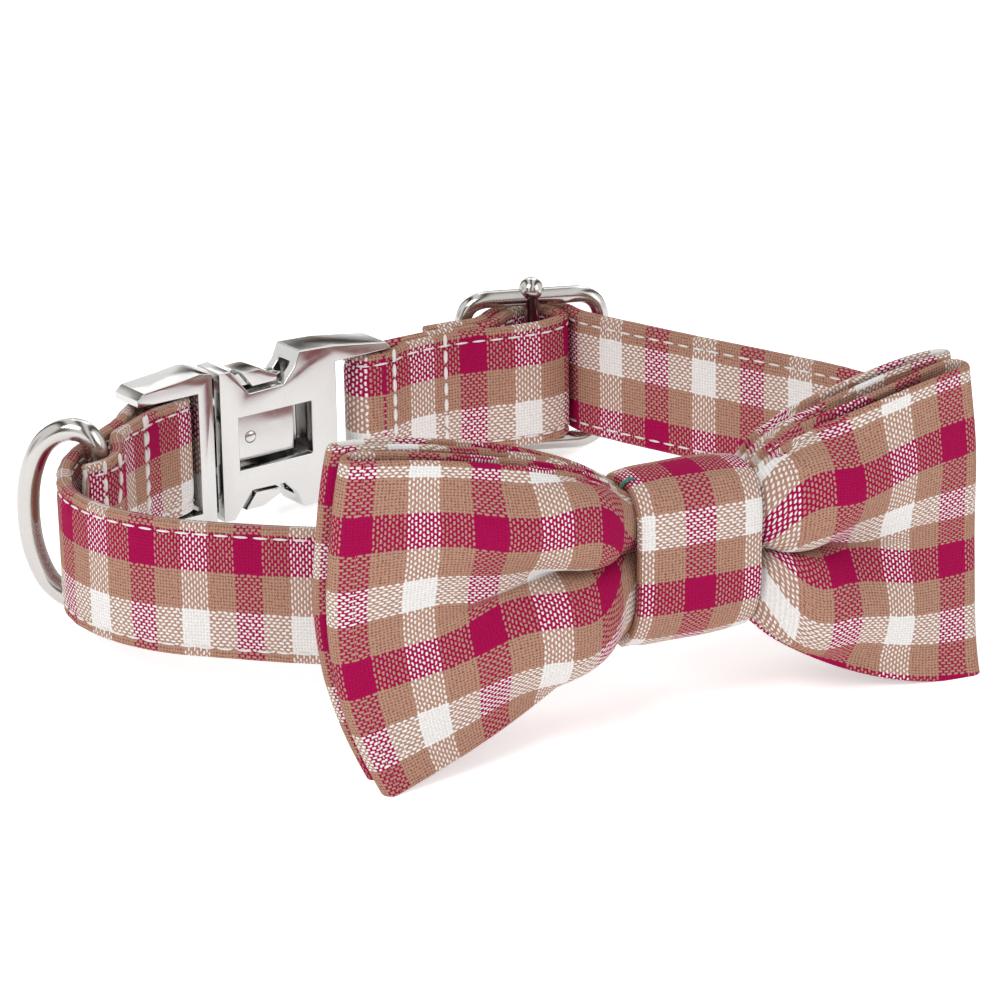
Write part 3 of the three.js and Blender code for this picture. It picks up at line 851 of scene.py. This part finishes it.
@dataclass(frozen=True)
class Gathers:
    """How the bow's cloth is gathered, in millimetres and shares of the way out along a wing.

    The pleats are deepest in the knot (knot, knot_fade) and again a little way out (wing, onset,
    fall). Each is full near the knot and sharpens outwards. The crease draws both edges together.
    """

    knot: float = 2.2
    knot_fade: float = 0.85
    wing: float = 300.0
    onset: float = 1.5
    fall: float = 7.0
    forward: float = 0.26
    fullness: float = 0.85
    sharper: float = 1.3
    crease: float = 0.17

    def pleat(self, a: np.ndarray, v: np.ndarray) -> np.ndarray:
        """Returns how far to the front the pleats carry the cloth, a of the way out, at height v."""
        depth = self.knot * (1 - self.knot_fade * a)
        depth = depth + self.wing * a**self.onset * np.exp(-self.fall * a)
        power = self.fullness + self.sharper * smoothstep(a, 0.2, 0.6)
        return depth * (np.abs(np.sin(math.pi * v)) ** power - self.forward)

    def pull(self, a: np.ndarray) -> np.ndarray:
        """Returns the share of the height that the crease draws in, a of the way out."""
        return self.crease * smoothstep(a, -0.05, 0.12) * (1 - smoothstep(a, 0.12, 0.46))


@dataclass(frozen=True)
class BowPiece:
    """One of the bow's two pieces of cloth.

    middles is how far its middle lies to the front in the knot, how much farther in mid-wing, and
    how far at the wings' ends. halves is half its depth in the knot, and what mid-wing and the
    ends add. phase is where the plaid starts, along and down. hug is how much its rear cloth, and
    all of it, lean to the front at the edges.
    """

    name: str
    middles: tuple[float, float, float]
    halves: tuple[float, float, float]
    phase: tuple[float, float]
    hug: tuple[float, float]


@dataclass
class Bow:
    """The bow: two flat loops of cloth, gathered in a knot."""

    fabric: Fabric
    origin: tuple[float, float, float] = (29.9, -43.7, 27.5)
    turn: float = 23.5
    cloth: float = 1.4
    knot_half: float = 12.5
    knot_edges: tuple[float, float] = (10.3, 12.5)
    reach: tuple[float, float] = (64.3, 55.4)
    flare: tuple[float, float] = (8.8, 4.0)
    flare_onset: float = 0.35
    top_lean: float = 1.6
    gathers: Gathers = Gathers()
    round_left: tuple[float, float, float] = (1.4, 1.2, -4.4)
    round_right: tuple[float, float, float] = (0.0, -0.75, -0.75)
    knot_top: float = 13.0
    knot_bottom: float = 10.4
    end_top: float = 28.1
    end_bottom: float = 27.5
    swell: float = 0.75
    fall_left: float = 0.72
    fall_right: float = 0.6
    cap: float = 3.2
    cloth_height: float = 56.3
    row_scale: float = 1.155
    column_scale: float = 1.12
    knot_rows: float = 1.18
    pressed: float = 0.48
    thread_path: tuple[tuple[float, float, float], ...] = (
        (-8.4, -1.6, 15.4), (-9.1, -2.0, 16.2), (-10.0, -2.2, 16.3), (-10.8, -2.0, 15.7),
        (-11.2, -1.8, 14.8), (-11.0, -2.0, 13.9), (-10.3, -2.8, 13.2),
    )
    crease_lift: tuple[float, float] = (3.8, 0.4)
    right_columns: float = 1.7
    right_rows: float = 2.8
    loop_place: tuple[float, float] = (25.4, -33.75)
    loop_turn: float = 26.6
    loop_half: float = 6.0
    loop_wall: float = 1.0
    loop_gap: float = 0.4

    def matrix(self) -> Matrix:
        """Places the bow's own frame, in metres."""
        x, y, z = self.origin
        place = ((x - FOOTPRINT_MIDDLE[0]) * MM, (y - FOOTPRINT_MIDDLE[1]) * MM, z * MM)
        return Matrix.Translation(place) @ Matrix.Rotation(math.radians(self.turn), 4, "Z")

    def share(self, u: np.ndarray) -> np.ndarray:
        """How far out along its wing a point lies: 0 at the knot's edge and 1 at the end."""
        reach = np.where(u < 0, self.reach[0], self.reach[1])
        start = np.where(u < 0, self.knot_edges[0], self.knot_edges[1])
        return np.clip((np.abs(u) - start) / (reach - start), 0, 1)

    def point(self, u: np.ndarray, w: np.ndarray, v: np.ndarray) -> Points:
        """Places points of a bow piece.

        Args:
            u: Along the bow, to the right.
            w: To the bow's front.
            v: From -1 at the lower edge to 1 at the upper.

        Returns:
            Rows of x, y, z in the bow's frame, in millimetres.
        """
        a = self.share(u)
        left = u < 0
        spread = np.sin(math.pi / 2 * a)
        upper = self.knot_top + (self.end_top - self.knot_top) * spread**self.swell
        drop = np.where(left, a**self.fall_left, spread**self.fall_right)
        lower = self.knot_bottom + (self.end_bottom - self.knot_bottom) * drop
        sign = np.where(left, -1.0, 1.0)
        shapes = [base + lean * v + bow * v * v for base, lean, bow in (self.round_left, self.round_right)]
        round_end = np.where(left, *shapes)
        low = np.clip((-v - self.flare_onset) / (1 - self.flare_onset), 0, None)
        high = np.clip(v, 0, None)
        flare = np.where(left, self.flare[0], self.flare[1])
        front = (flare * low * low - self.top_lean * high * high) * a * a
        height = np.where(v < 0, lower, upper)
        lift = np.where(left, *self.crease_lift) * (1 - smoothstep(a, 0.25, 0.85))
        drawn = np.sin(2 * math.pi * v) * height * self.gathers.pull(a)
        z = v * height - drawn + lift * (1 - v * v) ** 1.5
        forward = w + self.gathers.pleat(a, v) + front
        return np.stack([u + sign * round_end * a * a, -forward, z], axis=-1)

    def stations(self, steps: int, cap_steps: int) -> tuple[np.ndarray, np.ndarray]:
        """The stations round a bow piece.

        Args:
            steps: How many stations each wing has on the front.
            cap_steps: How many stations there are in a quarter turn at a wing's end.

        Returns:
            The places along the bow, and the turns: 0 on the front and pi on the back.
        """
        left, right = -self.reach[0] + self.cap, self.reach[1] - self.cap
        front = np.concatenate([
            np.linspace(left, -self.knot_half, steps, endpoint=False),
            np.linspace(-self.knot_half, self.knot_half, 8, endpoint=False),
            np.linspace(self.knot_half, right, steps + 1),
        ])
        turns = np.linspace(0, math.pi, 2 * cap_steps + 1)[1:-1]
        u = np.concatenate([front, np.full(len(turns), right), front[::-1], np.full(len(turns), left)])
        turn = np.concatenate([np.zeros(len(front)), turns, np.full(len(front), math.pi), turns[::-1]])
        return u, turn

    def loop(self, piece: BowPiece) -> bpy.types.Object:
        """Builds one of the bow's two pieces.

        Args:
            piece: The piece's shape.

        Returns:
            The object.
        """
        u, turn = self.stations(60, 6)
        a = self.share(u)
        knot, mid, end = piece.middles
        middle = knot + (end - knot) * a + mid * np.sin(math.pi * a)
        base, belly, spread = piece.halves
        half = base + belly * np.abs(np.sin(math.pi * a)) ** 0.8 + spread * a
        rows = 48
        rim = 4
        vs = np.linspace(1, -1, rows + 1)
        rings = []
        for i in range(len(u)):
            sides = []
            for grow in (0.5, -0.5):
                reach = self.cap if grow > 0 else self.cap - self.cloth
                uu = u[i] + np.sign(u[i]) * reach * math.sin(turn[i])
                ww = middle[i] + (half[i] + grow * self.cloth) * math.cos(turn[i])
                flat = self.pressed * half[i] * math.sin(math.pi * a[i]) * vs**4
                spare = 0.5 - 0.5 * math.cos(turn[i])
                shifts = ww + flat * (spare * 2.0 * piece.hug[0] + piece.hug[1])
                sides.append(self.point(np.full(rows + 1, uu), shifts, vs))
            outer, inner = sides
            ring = [outer]
            for edge, flip in ((-1, 1), (0, -1)):
                p, q = (outer[edge], inner[edge]) if flip > 0 else (inner[edge], outer[edge])
                turns = np.linspace(0, math.pi, rim + 2)[1:-1]
                centre, arm = (p + q) / 2, (p - q) / 2
                drop = np.array([0, 0, -0.5 * self.cloth * flip])
                bend = [centre + arm * math.cos(t) + drop * math.sin(t) for t in turns]
                ring.append(np.array(bend))
                if flip > 0:
                    ring.append(inner[::-1])
            rings.append(np.concatenate(ring))
        rings = np.array(rings)
        tip = np.abs(np.diff(turn, append=turn[:1]))
        steps = np.abs(np.diff(u, append=u[:1])) + np.where(tip < 1, tip, 0) * self.cap
        cut = np.concatenate([[0.0], np.cumsum(steps)]) + u[0]
        cut += self.right_columns * smoothstep(np.append(u, u[0]), -8, 8)
        cloth = self.cloth_coordinates(rings, rows, a, cut, piece.phase)
        right = smoothstep(np.append(u, u[0]), 0, 20)[:, None]
        half_down = (cloth[..., 1] - piece.phase[1]) / (self.cloth_height * self.row_scale)
        cloth[..., 1] += self.right_rows * right * smoothstep(half_down, 0.42, 0.58)
        solid = placed_rings(rings, self.matrix())
        return GridMesh(piece.name, solid, cloth * MM, True).object

    def cloth_coordinates(
        self, rings: Points, rows: int, out: np.ndarray, cut: np.ndarray, phase: tuple[float, float]
    ) -> Points:
        """Measures the cloth's own coordinates on a bow piece.

        Down the cloth they are the lengths from the nearer edge, so that the crease along the
        middle takes up what the gathers hide. Along it they are as cut, from the knot's middle.

        Args:
            rings: The piece's points, by ring.
            rows: How many rows the outer side has.
            out: How far out along its wing each ring lies, from 0 to 1.
            cut: How far along the cut cloth each ring lies, with the first ring again at the end.
            phase: Where the plaid starts, along and down.

        Returns:
            The coordinates in millimetres, one ring and one place more than the points.
        """
        count, around, _ = rings.shape
        down = np.zeros((count, around + 1))
        for i in range(count):
            s = lengths(np.concatenate([rings[i], rings[i, :1]]))
            lower = self.cloth_height - (s[rows] - s)
            gathered = np.where(np.arange(around + 1) <= rows // 2, s, lower)
            plain = s * self.cloth_height / s[rows]
            open_cloth = float(smoothstep(np.array(out[i]), 0.42, 0.72))
            down[i] = gathered + (plain - gathered) * open_cloth
        down = np.concatenate([down, down[:1]]) * self.row_scale + phase[1]
        along = np.repeat(cut[:, None], around + 1, axis=1) * self.column_scale + phase[0]
        return np.stack([along, down], axis=-1)

    def band(self, band: Band, matrix: Matrix) -> bpy.types.Object:
        """Builds a closed band of cloth.

        Args:
            band: The band's shape.
            matrix: Places the band's own frame.

        Returns:
            The object.
        """
        section = even(np.array(band.section), 120, True)
        normal = np.stack([-tangents(section, True)[:, 1], tangents(section, True)[:, 0]], axis=1)
        if np.mean(np.sum(normal * section, axis=1)) < 0:
            normal = -normal
        wall, half = band.wall, band.half
        across = np.linspace(-1, 1, 33)
        s = lengths(np.concatenate([section, section[:1]]))
        rings, cloth = [], []
        for i, ((w, z), (nw, nz)) in enumerate(zip(section, normal)):
            wrinkle = band.wrinkle * ripple(across * 4, np.full(33, s[i] / 7), 5.0)
            rise = band.bulge * (1 - across**4) + wrinkle * (1 - across**8)
            outer = np.stack([band.middle + across * half, -(w + nw * rise), z + nz * rise], axis=1)
            turns = np.linspace(0, math.pi, 7)[1:-1]
            ends = []
            for sign in (1, -1):
                depth = -wall / 2 + wall / 2 * np.cos(turns) * sign
                x = band.middle + sign * (half + wall / 4 * np.sin(turns))
                ends.append(np.stack([x, -(w + nw * depth), z + nz * depth], axis=1))
            inner = np.stack([band.middle + across[::-1] * half, -(w - nw * wall) + 0 * across,
                              z - nz * wall + 0 * across], axis=1)
            ring = np.concatenate([outer, ends[0], inner, ends[1]])
            rings.append(ring)
            flat = lengths(np.concatenate([ring, ring[:1]])) - half
            down = (s[i] if s[i] < 0.62 * s[-1] else s[i] - s[-1]) * self.knot_rows + band.phase[1]
            cloth.append(np.stack([flat * self.column_scale + band.phase[0],
                                   np.full(len(flat), down)], axis=1))
        last = cloth[0].copy()
        last[:, 1] = band.phase[1]
        cloth.append(last)
        solid = placed_rings(rings, matrix)
        return GridMesh(band.name, solid, np.array(cloth) * MM, True).object

    def knot(self) -> bpy.types.Object:
        """Builds the padded band round the middle and returns it."""
        section = spline((
            (4.8, 14.9), (7.5, 11.6), (8.0, 3.0), (7.6, -7.0), (4.4, -12.4), (-1.0, -15.2),
            (-5.6, -13.2), (-6.9, -8.0), (-6.9, 0.0), (-6.9, 9.0), (-6.4, 14.0), (-1.4, 15.7),
        ), True, 120)
        band = Band("bow_knot_cloth", section, 1.25, 11.2, 1.8, 0.7, 0.22, (3.7, 9.06))
        return self.band(band, self.matrix())

    def strap_loop(self) -> bpy.types.Object:
        """Builds the band behind the knot that holds the bow on the strap, and returns it."""
        deep = STRAP_THICKNESS / 2 + self.loop_gap + self.loop_wall
        high = STRAP_HALF + self.loop_gap + self.loop_wall
        corner = self.loop_wall * 1.2
        section = []
        for turn, (out, up) in enumerate(((1, 1), (-1, 1), (-1, -1), (1, -1))):
            for angle in np.linspace(0, math.pi / 2, 7) + turn * math.pi / 2:
                section.append((out * (deep - corner) + corner * math.cos(angle),
                                up * (high - corner) + corner * math.sin(angle)))
        matrix = band_spot(self.loop_place, self.loop_turn)
        band = Band("bow_loop_cloth", section, 0.0, self.loop_half - self.loop_wall / 4,
                    self.loop_wall, 0.0, 0.0, (12.0, 4.0))
        return self.band(band, matrix)

    def loose_thread(self) -> bpy.types.Object:
        """Builds the end of green thread that shows at the knot's upper left corner."""
        path = spline(self.thread_path, False, 60)
        radii = np.full(60, 0.27) * np.sin(np.linspace(0.25, math.pi - 0.25, 60)) ** 0.2
        return Tube(placed(path, self.matrix()), radii * MM, False, 10).build("green_thread_end")

    def build(self) -> None:
        """Builds and dresses the bow."""
        thread = self.loose_thread()
        dress(thread, self.fabric.green_thread, "collar")
        front = BowPiece("bow_front_cloth", (2.36, 1.95, 5.0), (0.95, 2.0, 1.0), (97.4, 19.2), (1.0, 0.0))
        back = BowPiece("bow_back_cloth", (-2.44, -1.1, -0.85), (0.95, 1.2, 0.0), (98.0, 26.0), (0.5, 1.6))
        wings, knot, strap_loop = (0.245, 0.0563), (0.085, 0.0224), (0.064, 0.012)
        for piece, node, flat, held in (
            (self.loop(front), "bow_front", wings, "gathered"),
            (self.loop(back), "bow_back", wings, "gathered"),
            (self.knot(), "bow_knot", knot, "folded"),
            (self.strap_loop(), "bow_loop", strap_loop, "folded"),
        ):
            dress(piece, self.fabric.cloth, "collar")
            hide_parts(node)


class Tube:
    """Round wire along a path."""

    def __init__(self, path: Points, radii: np.ndarray, closed: bool, sides: int = 24) -> None:
        """Sweeps the wire.

        Args:
            path: The middle of the wire, in metres.
            radii: Its radius at each point, in metres.
            closed: Whether its end joins its start.
            sides: How many sides it has.
        """
        along = tangents(path, closed)
        flat = path - path.mean(axis=0)
        _, _, axes = np.linalg.svd(flat)
        fixed = axes[2] if np.linalg.matrix_rank(flat, tol=1e-6) > 1 else np.cross(along[0], (1, 0, 0))
        first = np.cross(along, fixed)
        first /= np.linalg.norm(first, axis=1)[:, None]
        second = np.cross(along, first)
        turns = np.linspace(0, 2 * math.pi, sides, endpoint=False)
        ring = (first[:, None] * np.cos(turns)[None, :, None]
                + second[:, None] * np.sin(turns)[None, :, None])
        self.rings = path[:, None] + ring * radii[:, None, None]
        self.closed = closed

    def build(self, name: str) -> bpy.types.Object:
        """Builds the wire as an object of that name."""
        count, around, _ = self.rings.shape
        uv = np.zeros((count + (1 if self.closed else 0), around + 1, 2))
        return GridMesh(name, self.rings, uv, self.closed).object


def joined(name: str, pieces: Sequence[bpy.types.Object]) -> bpy.types.Object:
    """Puts several objects' meshes into one object.

    Args:
        name: The object's name.
        pieces: The objects, which are removed.

    Returns:
        The object.
    """
    work = bmesh.new()
    for piece in pieces:
        work.from_mesh(piece.data)
        bpy.data.objects.remove(piece)
    mesh = bpy.data.meshes.new(name)
    work.to_mesh(mesh)
    work.free()
    mesh.shade_smooth()
    return add_object(name, mesh)


@dataclass(frozen=True)
class Slider:
    """The slider: a rounded wire frame and a middle pin that ends in a ball."""

    place: tuple[float, float] = (6.4, 77.0)
    turn: float = 9.5
    width: float = 31.0
    height: float = 33.6
    wire: float = 3.4
    corner: float = 5.5
    pin: float = 1.5
    neck: float = 1.9
    ball: float = 2.5
    ball_at: float = 16.6

    def frame_path(self) -> Points:
        """The middle of the frame's wire, in the slider's own frame."""
        half_width = (self.width - self.wire) / 2
        half_height = (self.height - self.wire) / 2
        corners = [(half_width, -half_height), (half_width, half_height),
                   (-half_width, half_height), (-half_width, -half_height)]
        points = []
        for i, corner in enumerate(corners):
            here = np.array(corner)
            before = np.array(corners[i - 1]) - here
            after = np.array(corners[(i + 1) % 4]) - here
            start = here + before / np.linalg.norm(before) * self.corner
            end = here + after / np.linalg.norm(after) * self.corner
            for t in np.linspace(0, 1, 14):
                points.append((1 - t) ** 2 * start + 2 * t * (1 - t) * here + t * t * end)
        flat = np.array(points)
        path = np.stack([flat[:, 0], np.zeros(len(flat)), flat[:, 1]], axis=1)
        return even(np.concatenate([path, path[:1]]), 160, True)

    def build(self, metal: bpy.types.Material) -> None:
        """Builds and dresses the slider."""
        path = self.frame_path()
        matrix = band_spot(self.place, self.turn)
        frame_wire = Tube(placed(path, matrix), np.full(len(path), self.wire / 2 * MM), True)
        half_height = (self.height - self.wire) / 2
        heights = [-half_height, *np.linspace(-half_height + 0.5, half_height - 2.6, 12), half_height - 1.6]
        radii = [self.pin * 0.8, *([self.pin] * 12), self.neck]
        for angle in np.linspace(-0.62, math.pi / 2 - 0.06, 14):
            heights.append(self.ball_at + self.ball * math.sin(angle))
            radii.append(self.ball * math.cos(angle))
        line = np.stack([np.zeros(len(heights)), np.zeros(len(heights)), heights], axis=1)
        pin = Tube(placed(line, matrix), np.array(radii) * MM, False)
        piece = joined("slider_metal", [frame_wire.build("wire"), pin.build("pin")])
        dress(piece, metal, "collar")
        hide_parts("slider")


@dataclass(frozen=True)
class LeashRing:
    """The D-ring in the pocket of the folded strap."""

    place: tuple[float, float] = (-72.4, -4.7)
    turn: float = 168.7
    wire: float = 4.2
    upper: tuple[tuple[float, float], ...] = (
        (0, 0), (0, 6.6), (0, 12.9), (1.7, 15.7), (5.4, 16.1), (9.6, 13.4), (12.3, 7.6), (13.2, 0),
    )

    def build(self, metal: bpy.types.Material) -> None:
        """Builds and dresses the ring."""
        half = list(self.upper)
        outline = half + [(out, -up) for out, up in half[-2:0:-1]]
        path = spline([(out, up, 0.0) for out, up in outline], True, 150)
        path = np.stack([path[:, 0], np.zeros(150), path[:, 1]], axis=1)
        matrix = band_spot(self.place, self.turn)
        piece = Tube(placed(path, matrix), np.full(150, self.wire / 2 * MM), True, 28).build("d_ring_metal")
        dress(piece, metal, "ring")
        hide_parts("d_ring")


@dataclass
class Buckle:
    """The side-release buckle's two halves, cast in metal."""

    fabric: Fabric
    bevel: float = 0.55
    place: tuple[float, float] = (-66.8, 20.6)
    turn: float = 36.6
    stud_at: float = 26.2
    tongue_near: float = 2.7
    stud_size: tuple[float, float, float] = (1.25 * MM, 0.5 * MM, 1.25 * MM)

    def polished(self, node: str) -> bpy.types.Object:
        """Makes a copy of a CAD node with rounded edges.

        Args:
            node: The CAD node's name.

        Returns:
            The object.
        """
        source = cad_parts[node]
        mesh = source.data.copy()
        mesh.transform(source.matrix_world)
        work = bmesh.new()
        work.from_mesh(mesh)
        bmesh.ops.remove_doubles(work, verts=work.verts, dist=1e-6)
        bmesh.ops.dissolve_limit(work, angle_limit=math.radians(1), verts=work.verts, edges=work.edges)
        bmesh.ops.recalc_face_normals(work, faces=work.faces)
        work.to_mesh(mesh)
        work.free()
        mesh.name = f"{node}_metal"
        piece = add_object(mesh.name, mesh)
        rounded = piece.modifiers.new("bevel", "BEVEL")
        rounded.width = self.bevel * MM
        rounded.segments = 3
        rounded.limit_method = "ANGLE"
        rounded.angle_limit = math.radians(28)
        rounded.harden_normals = True
        mesh.shade_smooth()
        return piece

    def stud(self) -> bpy.types.Object:
        """Builds the small round mark that shows in the window."""
        work = bmesh.new()
        bmesh.ops.create_uvsphere(work, u_segments=24, v_segments=12, radius=1.0)
        spot = Matrix.Translation((self.stud_at * MM, self.tongue_near * MM, 0))
        matrix = band_spot(self.place, self.turn) @ spot @ Matrix.Diagonal((*self.stud_size, 1))
        bmesh.ops.transform(work, matrix=matrix, verts=work.verts)
        mesh = bpy.data.meshes.new("buckle_stud")
        work.to_mesh(mesh)
        work.free()
        mesh.shade_smooth()
        return add_object("buckle_stud", mesh)

    def build(self) -> None:
        """Builds and dresses both halves."""
        dress(self.stud(), self.fabric.metal, "collar")
        for node in ("buckle_male", "buckle_female"):
            piece = self.polished(node)
            dress(piece, self.fabric.metal, "collar")
            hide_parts(node)


@dataclass
class Studio:
    """The pale floor, the soft light and the camera."""

    elevation: float = 22.0
    distance: float = 780.0
    aim: tuple[float, float, float] = (0.0, 0.0, 20.0)
    focal_pixels: float = 4300.0
    picture: int = 1000
    sensor: float = 36.0
    on_metal: float = 1.1
    on_cloth: float = 0.58
    to_the_eye: float = 1.0
    floor_half: float = 6.0
    floor_glow: float = 0.5

    def camera(self) -> None:
        """Adds the camera at the photograph's angle."""
        data = bpy.data.cameras.new("camera")
        data.sensor_width = self.sensor
        data.lens = self.focal_pixels * self.sensor / self.picture
        data.clip_start, data.clip_end = 0.05, 20
        eye = add_object("camera", data)
        angle = math.radians(self.elevation)
        target = Vector(self.aim) * MM
        target -= Vector((*FOOTPRINT_MIDDLE, 0)) * MM
        eye.location = target - Vector((0, math.cos(angle), -math.sin(angle))) * self.distance * MM
        eye.rotation_euler = (math.pi / 2 - angle, 0, 0)
        bpy.context.scene.camera = eye

    def lamp(self, name: str, place: Sequence[float], size: float, power: float) -> None:
        """Adds a soft square lamp that points at the middle of the object.

        Args:
            name: The lamp's name.
            place: Where it hangs, in metres.
            size: Its side, in metres.
            power: Its power in watts.
        """
        data = bpy.data.lights.new(name, "AREA")
        data.size, data.energy = size, power
        lamp = add_object(name, data)
        lamp.location = place
        lamp.rotation_euler = (Vector(place) - Vector((0, 0, 0.02))).to_track_quat("Z", "Y").to_euler()

    def sky(self) -> None:
        """Sets the surroundings: white to the eye and to matt things, banded to polished ones."""
        world = bpy.data.worlds.new("studio")
        bpy.context.scene.world = world
        world.use_nodes = True
        make = TreeMaker(world.node_tree)
        place = make.node("ShaderNodeTexCoord").outputs["Generated"]
        bands = make.node(
            "ShaderNodeTexWave", bands_direction="X", in_Vector=place, in_Scale=0.55,
            in_Distortion=2.0, in_Detail=1.0,
        )
        ramp = make.node("ShaderNodeValToRGB", in_0=bands.outputs["Fac"])
        points = ramp.color_ramp.elements
        for spot, level in ((0.0, (0.05, 0.04, 0.035)), (0.42, (0.45, 0.42, 0.39)), (0.62, (1, 1, 1))):
            point = points[0] if spot == 0.0 else points.new(spot)
            point.position = spot
            point.color = (*level, 1)
        white = (1, 1, 1, 1)
        glossy, plain, seen = (
            make.node("ShaderNodeBackground", in_Color=colour, in_Strength=strength).outputs[0]
            for colour, strength in (
                (ramp.outputs["Color"], self.on_metal), (white, self.on_cloth), (white, self.to_the_eye)
            )
        )
        ray = make.node("ShaderNodeLightPath").outputs
        lit = make.node("ShaderNodeMixShader", in_0=ray["Is Glossy Ray"], in_1=plain, in_2=glossy)
        whole = make.node("ShaderNodeMixShader", in_0=ray["Is Camera Ray"], in_1=lit.outputs[0], in_2=seen)
        make.node("ShaderNodeOutputWorld", in_Surface=whole.outputs[0])

    def build(self) -> None:
        """Builds the floor, the surroundings, the lamps and the camera."""
        self.camera()
        mesh = bpy.data.meshes.new("floor")
        half = self.floor_half
        corners = [(-half, -half, 0), (half, -half, 0), (half, half, 0), (-half, half, 0)]
        mesh.from_pydata(corners, [], [(0, 1, 2, 3)])
        floor = add_object("floor", mesh)
        make = NodeMaker("floor_paper")
        place = make.node("ShaderNodeTexCoord").outputs["Object"]
        grain = make.node("ShaderNodeTexNoise", in_Vector=place, in_Scale=40.0)
        colour = make.mix(grain.outputs["Fac"], (0.93, 0.93, 0.93), (0.95, 0.95, 0.95))
        shader = make.node(
            "ShaderNodeBsdfPrincipled", in_Base_Color=colour, in_Roughness=0.9,
            in_Specular_IOR_Level=0.0, in_Emission_Color=(1, 1, 1, 1),
            in_Emission_Strength=self.floor_glow,
        )
        mesh.materials.append(make.finish(shader.outputs[0]))
        self.sky()
        self.lamp("key", (-0.55, -0.75, 1.0), 0.6, 8.0)
        self.lamp("fill", (0.9, -0.5, 0.6), 0.8, 2.5)
        self.lamp("back", (0.1, 1.0, 0.9), 0.8, 3.0)
        view = bpy.context.scene.view_settings
        view.view_transform = "Standard"
        view.look = "None"
        view.exposure = 0.0


def save_sizes() -> None:
    """Brings the scene's view layer up to date."""
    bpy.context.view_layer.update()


def main() -> None:
    """Builds the collar and its studio."""
    logging.basicConfig(level=logging.INFO, format="%(message)s")
    Studio().build()
    fabric = Fabric()
    Straps(fabric).build()
    Bow(fabric).build()
    Buckle(fabric).build()
    Slider().build(fabric.wire)
    LeashRing().build(fabric.wire)
    save_sizes()


if __name__ == "__main__":
    main()
